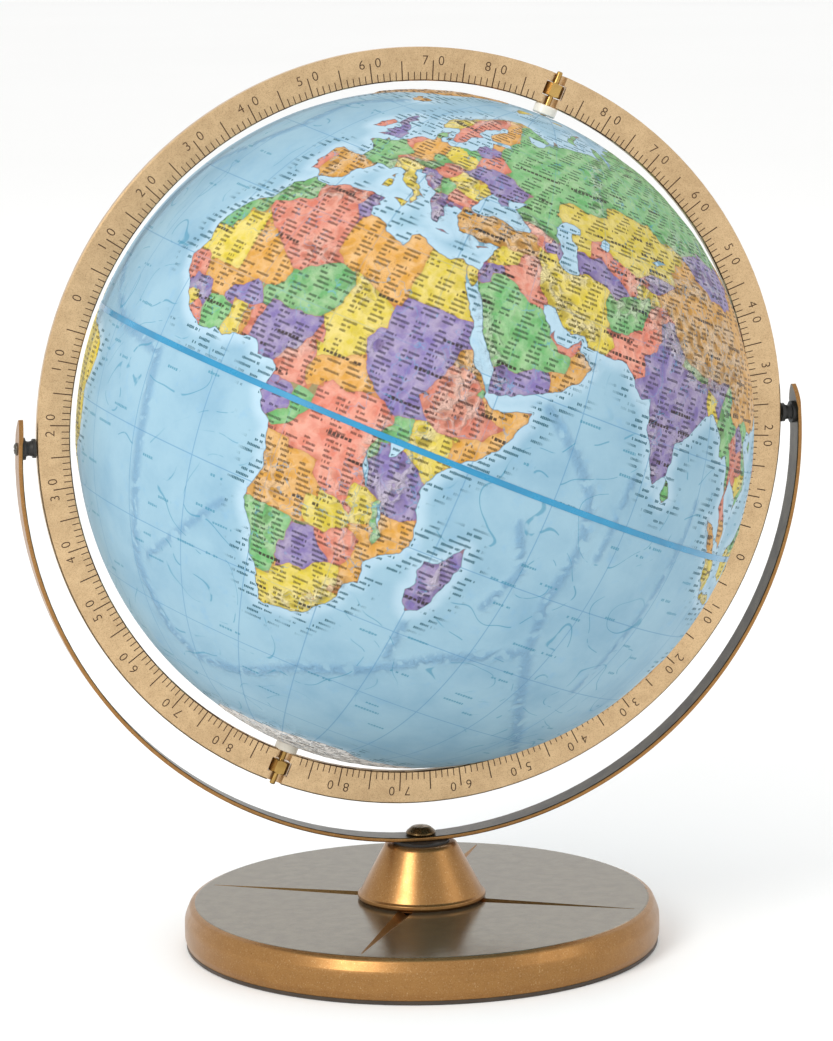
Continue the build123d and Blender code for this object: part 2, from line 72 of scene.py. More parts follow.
# Shore lines, as pairs of longitude and latitude in degrees. Each one closes on itself.
COASTS = {
    "africa": (
        "-5.9 35.8 -5.3 35.9 -4.3 35.2 -2 35.1 0.3 36.2 3.9 36.9 7.2 37.1 9.8 37.3 11 37.1 10.5 36.1 11.1 "
        "35.3 10.1 34.2 11.1 33.2 13.2 32.9 15.2 32.3 15.7 31.3 18 30.8 19.8 30.4 20.1 31.6 20.2 32.4 "
        "21.6 32.9 23.1 32.6 25 31.7 27 31.2 29 30.9 31 31.6 32.3 31.25 32.55 29.95 33.6 27.8 34.2 26.5 "
        "35.5 24 36.9 22 37.3 20.8 37.3 19.5 38.5 18 39.3 15.9 41.2 14.6 43.1 12.7 43.3 11.6 44.5 10.4 "
        "46.8 10.7 49 11.3 51.2 11.9 51 10.4 49.5 6.8 48 4.4 46 2.4 44 1 42.5 -0.4 40.2 -2.7 38.8 -6 39.5 "
        "-7 39.5 -9 40.5 -10.8 40.7 -13 40.7 -15 39.8 -16.4 36.3 -18.8 34.8 -19.9 35.3 -22 35.5 -24 33 "
        "-25.3 32.8 -27.8 31.4 -29.4 30.3 -31.3 28.2 -32.8 26 -33.8 23 -34.1 20 -34.8 18.5 -34.3 18.2 "
        "-32.5 17.2 -30 16.4 -28.5 15.1 -26.5 14.5 -22.8 13.2 -20.5 11.8 -18 12 -16 13.6 -12.3 13.2 -9 "
        "12.3 -6.1 11.8 -4.8 9.8 -2.6 8.8 -0.8 9.6 1 9.8 3 9.4 4 8.5 4.6 6 4.3 5.3 5.5 4.5 6.3 2.7 6.4 "
        "1.2 6.1 -2 4.75 -4 5.2 -7.6 4.4 -9.2 5.4 -11.4 6.9 -13.2 8.6 -13.7 9.8 -15 10.9 -16.6 12.2 -16.8 "
        "13.4 -17.5 14.7 -16.5 16 -16.1 18 -16.5 19.3 -17 21 -16 23.6 -14.8 25.9 -13.2 27.7 -11.5 28.3 "
        "-10 29.5 -9.7 31.3 -8.6 33.2 -6.8 34.1 "
    ),
    "eurasia": (
        "32.3 31.25 34.2 31.3 35 32.8 35.9 34.7 36 36.6 34.6 36.7 33.6 36.1 32.2 36.1 30.6 36.8 29.2 36.3 "
        "27.7 36.8 27 38 26.3 39.2 26.2 40.1 26 40.7 24.5 40.9 24.2 40.2 23.4 40.2 22.8 40.5 22.7 39.6 "
        "23.2 39 24 38 23 37.8 23.1 36.6 22.4 36.6 21.7 36.9 21.2 37.8 20.8 38.7 20 39.7 19.4 40.6 19.4 "
        "41.8 18.5 42.4 17 43 15.2 44.2 14.4 45.2 13.7 44.9 13.6 45.7 12.3 45.3 12.4 44.3 13.6 43.5 14.2 "
        "42.4 16.1 41.8 16.1 41.4 18.5 40.1 17 40.5 16.6 39.7 17.1 38.9 16 37.9 15.8 38.7 15.6 40 14.3 "
        "40.8 12.2 41.7 10.4 43 10.1 44 8.8 44.4 7.5 43.8 6.2 43.1 4.5 43.4 3.1 43.1 3.2 42.2 2 41.3 0.7 "
        "40.8 -0.3 39.5 0.2 38.8 -0.7 37.6 -2.1 36.8 -4.4 36.7 -5.4 36.1 -6.4 36.9 -7.4 37.2 -8.9 37 -8.8 "
        "38.4 -9.5 38.8 -8.8 40.5 -8.9 42 -9.3 43 -8 43.7 -3.5 43.5 -1.7 43.4 -1.2 44.6 -1.2 46 -2.3 47.2 "
        "-4.5 47.9 -4.7 48.4 -3 48.8 -1.6 48.7 -1.8 49.7 -0.2 49.3 1.5 50.1 1.7 50.9 3.5 51.4 4.6 52.6 "
        "5.3 53.2 7 53.6 8.6 53.9 8.8 54.5 8.1 55.6 8.2 56.9 10.6 57.7 10.3 56.6 10.7 56.1 9.7 55.3 9.9 "
        "54.8 10.9 54 12.5 54.4 14.2 53.9 16.5 54.4 18.6 54.7 19.6 54.4 20.9 55.2 21.1 56.8 22.6 57.7 "
        "24.3 57.2 24.4 58.3 23.6 59.2 27.5 59.5 30 59.9 28.5 60.5 25 60.2 22.9 59.9 21.4 61 21.4 62.5 "
        "24.5 64.8 24.3 65.8 22.2 65.6 21.3 64.6 19 63.3 17.3 61.6 17.3 60.6 18.8 59.9 16.7 58.5 16.4 "
        "56.7 15.8 56.1 14.2 55.4 12.9 55.5 12.6 56.4 11.4 58.5 10.7 59.5 9.6 58.9 7 58.1 5.5 58.8 5 61 "
        "6.3 62.6 9.7 63.9 12.3 65.8 14.5 67.5 17 68.7 19.5 70 23 70.6 26 71 29 70.8 31 70.4 33.5 69.4 37 "
        "68.6 41.1 67.2 40.5 66.4 36 66.3 33 66.8 34.8 64.5 38 64 40.3 64.6 40 65.8 42 66.4 44 66.1 43.6 "
        "68.4 46 68 46.5 66.8 48 67.6 54 68.4 60 68.9 65 69.2 69 68.5 67 70 67 71.5 69 73 72.6 72.8 72 71 "
        "72.8 68.5 71.5 66.4 74.5 68.5 73.6 71 75 72.5 80 72.4 80.5 73.6 87 75 97 76.2 104 77.7 112 76.5 "
        "113.5 75.4 109 73.9 113 73.6 118.5 73.2 127 73.3 129.5 71 132 71.4 140 72.6 149 72.2 152 70.9 "
        "160 69.7 170 69.8 176 69.9 180 69 180 65 178 64.5 179.5 62.5 174 61.8 170.4 60 166 60.1 163.3 "
        "58.3 162 57.8 163.2 56.2 161.8 55 160 53.1 156.7 51 155.6 55 155.7 57 158.5 59 163.5 61.4 164.5 "
        "62.5 160 61.7 156.5 61.5 154.5 59.6 151 59.3 143 59.3 137.5 55.5 135.3 54.7 138 53.8 141.2 53.2 "
        "140.5 50.5 140.3 48.5 137.5 46 135 43.5 132.3 43.2 130.7 42.3 129.7 41 127.5 39.8 128.3 38.6 "
        "129.4 37 129.2 35.3 126.5 34.4 126.6 36.8 125.1 38 124.4 40 121.3 38.9 121.5 40.7 118 39.1 118.9 "
        "37.4 122.4 37.3 119.4 35.2 121.8 31.8 121.9 30 119.8 26 117 23.6 114 22.4 110.5 21.2 110.2 20.4 "
        "109.6 21.6 108 21.6 105.7 19 107 17 109.2 14 109.2 11.8 107 10.4 104.8 8.6 105 10 102.9 11.6 "
        "100.9 12.7 100.5 13.5 99.9 12 99.2 10 100.3 8.5 102 6.4 103.4 4.5 103.9 1.5 101.3 3 100.3 5.5 "
        "98.3 8 98.7 10.5 97.7 15 97 17 95.4 15.8 94.3 16.2 94 19 92 21.5 90.5 22.5 88.3 21.7 86.8 20.5 "
        "84.5 18.8 82.3 16.6 80.3 15.5 80.2 13 79.8 10.4 78.2 8.9 77.5 8.1 76.3 10 74.8 13 73.5 16 72.8 "
        "19.5 72.7 21.5 71 20.8 69 22.3 68.5 23.6 67 24.9 66.5 25.4 61.6 25.1 57.5 25.7 56.9 27 54.5 26.6 "
        "51.5 27.9 50.2 30 48.5 30 48 29.4 48.6 28 50.2 26.5 50.8 25 51.2 26.1 51.6 25 52 24.2 54.2 24.2 "
        "56.3 26.2 56.6 24.5 58.8 23.5 59.8 22.4 58.5 20.4 57.7 19 56 17.9 55 17 52.2 15.6 49 14.1 45 "
        "12.8 43.5 12.7 42.8 14.8 42.8 16.4 41 18.7 39.2 21.3 38.4 23.5 36.8 26 35.2 28.1 35 29.5 34.4 "
        "27.9 32.55 29.95 "
    ),
    "chukotka": (
        "-180 69 -175 67.5 -170 66.2 -172.5 64.4 -178.5 65.5 -180 65 "
    ),
    "n_america": (
        "-168 65.6 -164 66.5 -166.3 68.3 -163 69.5 -156.6 71.3 -150 70.4 -141 69.7 -135 69.2 -128 70.4 "
        "-124 69.4 -115 68.6 -108.5 68 -102 67.9 -97 68.3 -94.5 71.8 -92 69.6 -88 67.8 -85.5 69.6 -81.5 "
        "69.1 -81.3 67.5 -86 66.3 -87 64.8 -93 62 -94.7 59.5 -92.5 57 -88 56.6 -82.3 55.2 -82.2 52.9 -80 "
        "51.3 -78.8 52.5 -79.5 54.7 -76.8 56.5 -78.5 58.8 -77.5 62.3 -73.7 62.3 -70 61 -66 58.7 -64.5 "
        "60.3 -62 57.8 -60 55.2 -57 53.5 -55.7 52.2 -60 50.2 -66.5 50.2 -69 48.5 -64.5 48.9 -65 47 -61.5 "
        "46 -60 46.8 -61.5 45.2 -65.7 43.5 -66 44.6 -64.8 45.4 -67 44.9 -70.2 43.6 -70.8 42.2 -70 41.7 "
        "-74 40.6 -75.3 38.5 -76 37 -75.6 35.2 -77.9 34 -81.2 31.3 -80.1 27 -80.4 25.2 -81.8 26 -82.8 28 "
        "-83.8 30 -85.3 29.7 -88 30.3 -90.3 29.1 -93.5 29.7 -96.8 28 -97.7 22.3 -96 19 -94.5 18.2 -91 "
        "18.6 -90.4 20.8 -87 21.5 -87.6 18.5 -88.8 15.9 -84 15.8 -83.2 14.9 -83.6 11 -82.3 9.3 -79.9 9.3 "
        "-77.4 8.7 -77.9 7.2 -78.6 8.5 -80.2 7.4 -83.6 8.6 -85.8 10 -87.6 12.9 -91.4 13.9 -94.3 16.2 "
        "-96.5 15.7 -101.6 17.6 -105.5 20 -105.5 22.5 -109.4 25.7 -112.8 30 -114.7 31.7 -114.6 30.5 "
        "-111.3 26 -109.5 23.1 -112.1 24.8 -115.1 27.9 -116 30.4 -117.2 32.6 -118.5 34 -120.6 34.6 -122.4 "
        "37.2 -124.4 40.4 -124 44 -124.7 48.4 -122.7 49 -127.5 51 -130.3 54.7 -133.5 57 -136.5 58.3 -140 "
        "59.8 -146.5 60.9 -151.7 59.2 -151.5 61 -154 59.4 -158.3 56.1 -163 54.7 -160.5 56 -157.5 58.7 "
        "-162 58.7 -165.3 61 -164.8 63 -161 64.5 -166.4 64.6 "
    ),
    "s_america": (
        "-77.4 8.7 -75.5 10.6 -74.8 11.1 -71.7 12.3 -71.3 11 -70 12.1 -68 10.6 -62 10.7 -60 8.6 -57.3 6 "
        "-54 5.8 -51.6 4.2 -50 1.8 -50.5 0 -48 -0.9 -44.3 -2.6 -41.5 -2.9 -38.5 -3.8 -35.3 -5.3 -34.8 "
        "-7.5 -36.5 -10.5 -38.8 -13 -39.1 -17.5 -41 -22 -44.8 -23.2 -48.5 -25.7 -48.7 -28.3 -52.1 -32.3 "
        "-54 -34.7 -56.5 -34.9 -58.4 -34 -57 -36.5 -58 -38.2 -62 -39 -62.3 -40.9 -65 -41 -63.8 -42.6 "
        "-65.3 -45 -67.5 -46.3 -65.8 -47.9 -69 -50.5 -68.4 -52.3 -65.3 -54.8 -68 -55.7 -71.5 -54 -74.5 "
        "-51.5 -75.5 -48 -74.2 -44.5 -73 -41.5 -73.6 -38 -71.6 -33 -71.5 -29.5 -70.3 -25 -70.3 -18.3 "
        "-71.4 -17.6 -76.3 -13.8 -78.2 -10 -81.2 -6 -80.3 -3.4 -81 -2.2 -80 0.8 -77.6 2.6 -77.3 4 -77.9 "
        "7.2 "
    ),
    "australia": (
        "142.5 -10.7 143.8 -14.3 145.4 -15 146.3 -18.9 149.3 -21.3 151 -23.4 153.1 -25.5 153.5 -28.5 "
        "152.5 -32.3 150.2 -36 150 -37.5 146.4 -39.1 143.6 -38.8 140.6 -38 138.9 -35.7 138.2 -33.2 137.7 "
        "-35 136 -34.8 135.2 -34.6 131.2 -31.5 126 -32.3 123.5 -33.9 118 -35 115 -34.3 115.8 -32 113.6 "
        "-25.5 114 -22 117 -20.7 121 -19.5 122.3 -17.5 124 -16.3 126.5 -14.1 128.5 -15 129.8 -14.9 130.8 "
        "-12.4 132.6 -11.4 136.8 -12.2 135.6 -15 139.3 -17.5 140.9 -17.4 141.7 -14 141.7 -12.5 "
    ),
    "greenland": (
        "-73 78.3 -68 76.1 -60 75.9 -55.5 72.5 -54.5 70.7 -51 69.5 -53.7 67 -52 64.2 -48.5 61 -43.2 59.9 "
        "-41 63 -37 65.6 -31 68.1 -22.5 70.4 -21 74 -19.5 77.5 -15 80 -12.5 81.5 -33 83.5 -60 82 -65 80.8 "
    ),
    "antarctica": (
        "-180 -78 -158 -77 -135 -74.5 -115 -74 -100 -72.5 -85 -73 -75 -72 -68 -68 -62 -64.5 -57 -63.3 -60 "
        "-65.5 -62 -69 -62 -74 -75 -77 -60 -77.8 -40 -78 -30 -76 -20 -73.5 -10 -71 0 -70 20 -70 35 -69 50 "
        "-67 60 -67 70 -69 80 -68 95 -66 115 -66.5 135 -66 150 -68 165 -71 170 -72 164 -75 165 -78 180 "
        "-78 "
    ),
    "madagascar": (
        "49.3 -12 50.4 -15.5 49.6 -16.5 49.3 -18.5 47.7 -23.5 47 -25 45.2 -25.5 43.7 -23.5 43.3 -22 44.4 "
        "-20 44 -18 44.5 -16.2 46.3 -15.7 48 -13.6 "
    ),
    "great_britain": (
        "-5.7 50.1 -3.5 50.3 -1 50.7 1.3 51.1 1.7 52.6 0.2 53 -0.1 54 -1.6 55.3 -3 56 -2 57.6 -4 57.8 "
        "-3.1 58.6 -5 58.6 -5.8 57.3 -4.9 54.8 -3 54.2 -3.1 53.4 -4.6 53.2 -4.2 52.3 -5.2 51.8 -3 51.4 "
        "-4.3 51 "
    ),
    "ireland": (
        "-6.1 53.3 -6.4 52.2 -9.6 51.6 -10 53.4 -8.5 54.3 -8.3 55.1 -6.2 55.2 -5.6 54.5 "
    ),
    "iceland": (
        "-22.5 63.9 -18.8 63.4 -14.6 64.4 -14.8 66 -18 66.1 -20.4 65.7 -23 66.4 -24.3 65.5 -22 64.8 "
    ),
    "svalbard": (
        "13.5 77.8 17 76.6 21.5 78.3 27 80 17 80 11 79.5 "
    ),
    "novaya_zemlya": (
        "52 71.5 57.5 70.7 56 72.4 60 74.5 68.5 76.8 66 77 57 75.2 53.5 73.2 "
    ),
    "severnaya": (
        "95 79.5 100 78.2 105 78.6 103 80 96 81 "
    ),
    "new_siberian": (
        "138 75.5 143 75 150 75.2 143 76 "
    ),
    "franz_josef": (
        "45 80.5 58 80.3 60 81.5 50 81.3 "
    ),
    "sakhalin": (
        "142 46 143.4 47 143.5 49 144.5 49 143 51.5 143 54.3 142.2 51 142 48 "
    ),
    "kyushu": (
        "130 31.3 131.8 33 130.9 33.9 129.8 33 "
    ),
    "honshu": (
        "131 34 133 33.2 135.8 33.5 138.8 34.7 140.8 35.7 141 38.3 142 39.6 141.4 41.4 140.2 41.2 139.8 "
        "39 138.5 37.4 136.9 37.4 136 35.7 133 35.5 "
    ),
    "hokkaido": (
        "140 41.6 143.2 42 145.5 43.3 144.3 44 141.8 45.4 141.3 43.4 "
    ),
    "taiwan": (
        "120.8 22 121.9 25 121.2 25.1 120.1 23.3 "
    ),
    "hainan": (
        "108.7 19 110.5 18.3 111 19.8 109.5 20 "
    ),
    "sri_lanka": (
        "80 9.7 81.2 8.5 81.8 7 80.6 5.9 79.8 7.2 "
    ),
    "luzon": (
        "120.6 18.5 122.2 18.3 121.6 16 123 14 124 12.7 121 13.7 120 15.2 120.4 16.5 "
    ),
    "mindanao": (
        "122 7 124 6.5 125.6 5.8 126.5 7.5 125.5 9.7 123.5 8.6 "
    ),
    "visayas": (
        "122 11.7 123.2 11.5 125.2 12.5 125.6 11 124 9.8 122.5 10 "
    ),
    "palawan": (
        "117.3 8.5 119.4 11.2 119 10 "
    ),
    "borneo": (
        "109 1.5 109.2 -0.8 110.2 -2.9 112 -3.4 114.5 -4 116.3 -3.5 116.5 -1.5 118 0.8 119 1 117.8 3.6 "
        "119.2 5.2 116.8 7 115.4 5.3 113 3.2 111.2 2.5 109.6 2 "
    ),
    "sumatra": (
        "95.3 5.6 97.5 5.2 100.3 2.9 103.5 -0.5 106 -3 105.8 -5.8 104.5 -5.9 102.2 -4 100.3 -1 98.7 1.7 "
        "97.5 3 "
    ),
    "java": (
        "105.2 -6.8 106.5 -6 108.5 -6.7 110.8 -6.4 112.7 -6.9 114.5 -7.8 114.3 -8.7 110 -8.1 107 -7.5 "
    ),
    "lesser_sunda": (
        "115 -8.4 118 -8.2 123 -8.2 120 -9 "
    ),
    "timor": (
        "123.5 -10.3 127.2 -8.4 125 -8.6 "
    ),
    "sulawesi": (
        "119.5 -5.6 120.4 -3 122 -4.8 122.8 -4 121.5 -2 123.3 -1 121 -0.9 120.1 0.3 124 0.4 125 1.6 121 "
        "1.3 119.9 0.6 119.5 -2 118.9 -3 "
    ),
    "halmahera": (
        "127.5 0 128.6 1.5 127.8 2 "
    ),
    "seram": (
        "128 -3.2 130.8 -3.2 129 -2.8 "
    ),
    "new_guinea": (
        "131 -0.8 134 -0.8 134.5 -3 137 -1.7 141 -2.6 144.5 -3.9 147.8 -6 147 -6.8 150.8 -10.3 147 -9.5 "
        "144.5 -7.7 143 -9.2 141 -9.1 138 -8.3 138.3 -6.5 135 -4.4 132.8 -4 132 -2.8 "
    ),
    "new_britain": (
        "148.5 -5.6 152.2 -4.2 151 -6 "
    ),
    "tasmania": (
        "144.8 -40.8 148.2 -40.9 148 -43.1 146.2 -43.5 145.3 -42.3 "
    ),
    "nz_north": (
        "172.8 -34.5 175.3 -36.5 178.4 -37.7 177.2 -39.3 175.2 -41.6 173.8 -39.3 174.8 -37.8 "
    ),
    "nz_south": (
        "172.7 -40.6 174.2 -41.4 172.8 -43.5 170.7 -45.8 168.5 -46.6 166.5 -45.9 168.5 -44 171.2 -42.4 "
    ),
    "sicily": (
        "12.5 38 15.6 38.2 15.1 36.7 "
    ),
    "sardinia": (
        "8.3 39 9.6 39.2 9.6 41 8.3 40.9 "
    ),
    "corsica": (
        "8.6 42 9.5 42.9 9.4 41.5 "
    ),
    "crete": (
        "23.6 35.4 26.3 35.2 24.8 34.9 "
    ),
    "cyprus": (
        "32.4 35 34.5 35.6 33 34.6 "
    ),
    "zealand": (
        "11.2 55.7 12.5 56 12.2 55.1 11.2 55.2 "
    ),
    "ellesmere": (
        "-90 76.5 -80 76.2 -75 78.5 -66 81 -62 82.6 -75 83 -90 81.5 -95 80 -87 79 -88 77.5 "
    ),
    "baffin": (
        "-89.5 71 -88 73.5 -80.5 73.7 -76 72.8 -68.5 70.5 -61.5 66.7 -64.5 63.3 -66.5 62.5 -72 64 -78 "
        "65.5 -73 68 -79 70 -85 70.2 "
    ),
    "victoria_is": (
        "-117 70 -118 72 -108 73.2 -101.5 69.5 -105 69 -113.5 68.9 "
    ),
    "banks": (
        "-125 72 -124 74.2 -118 73 -122 71.2 "
    ),
    "melville": (
        "-117 76 -108 76.5 -106 75 -114 75 "
    ),
    "devon": (
        "-92 76 -80 75.6 -81 74.6 -92 74.8 "
    ),
    "prince_wales": (
        "-102 73 -97 73.5 -98 71.4 "
    ),
    "southampton": (
        "-87 65 -81.5 64 -85 63.3 "
    ),
    "newfoundland": (
        "-59.3 47.6 -55.5 51.5 -56.7 49.9 -53 47.5 -53 46.7 -56 46.9 "
    ),
    "vancouver_is": (
        "-128.2 50.7 -125 50 -123.4 48.4 -125.5 48.8 "
    ),
    "cuba": (
        "-84.9 21.9 -82.2 23.1 -79 22.5 -74.2 20.2 -77.6 19.9 -78.5 21 -82.5 22.5 "
    ),
    "hispaniola": (
        "-74.4 18.4 -73.3 19.9 -69.8 19.7 -68.4 18.6 -71 17.7 "
    ),
    "jamaica": (
        "-78.3 18.4 -76.3 18.1 -77.3 17.8 "
    ),
    "falklands": (
        "-61 -51.8 -58 -51.5 -59.5 -52.3 "
    ),
    "lake_black_sea": (
        "28 42 28.6 43.9 29.8 45.2 30.9 46.5 32.5 46.1 32.6 45.4 33.5 44.5 35.4 45.1 35 46.3 37.4 47 39.2 "
        "47.1 37.9 46.2 37 45.3 38.2 44.3 40 43.4 41.6 42 41.3 41.4 38.5 41 36.4 41.4 35 42 33 41.9 31.3 "
        "41.1 29.3 41.2 "
    ),
    "lake_marmara": (
        "27.3 40.7 28.9 40.9 29 40.5 27.6 40.4 "
    ),
    "lake_caspian": (
        "47 45 49 46.4 51.5 46.9 53 46.5 53 45.3 51 44.6 51.3 43.2 52.6 42.6 53 40 53.9 36.9 51.8 36.6 50 "
        "37.4 48.9 38.3 49.5 40.3 48.6 41.8 47.5 43 47.5 44.3 "
    ),
    "lake_aral": (
        "58.3 44.6 59.5 46.5 61.5 46 60.5 44 "
    ),
    "lake_victoria": (
        "31.8 -0.3 33.5 0.3 34.3 -0.5 33.6 -2.2 32.3 -2.6 "
    ),
    "lake_tanganyika": (
        "29.2 -3.4 29.8 -4.8 31 -8.6 30.3 -7.5 29.2 -5.5 "
    ),
    "lake_malawi": (
        "34 -9.6 34.5 -12 35 -14 34.3 -13.2 33.9 -11 "
    ),
    "lake_baikal": (
        "104 51.6 106.5 52.6 109.5 54.6 109.7 55.7 107.5 54 105.8 52.4 "
    ),
    "lake_balkhash": (
        "74 46 76.5 46.7 79 46.6 75.5 45.6 "
    ),
    "lake_superior": (
        "-92 46.8 -89 48 -88 48.6 -85 47.8 -84.8 46.6 -87.5 46.6 "
    ),
    "lake_michigan": (
        "-87.8 42 -87.9 44 -85.6 45.8 -86.3 43.5 -86.8 41.8 "
    ),
    "lake_huron": (
        "-84.3 46 -81 45.9 -80.2 44.6 -81.7 43.2 -83.4 45.2 "
    ),
    "lake_erie": (
        "-83.3 41.8 -80.2 42.7 -79 42.8 -81.3 41.6 "
    ),
    "lake_ontario": (
        "-79.6 43.3 -76.5 44.1 -76.8 43.5 "
    ),
    "lake_great_bear": (
        "-124 66 -120.5 66.8 -118 66 -121 65 "
    ),
    "lake_great_slave": (
        "-116.5 61 -112 62.3 -110 62.8 -113 61.2 "
    ),
    "lake_winnipeg": (
        "-98.8 53.7 -97.2 51.8 -96.5 50.5 -98.2 52 "
    ),
}

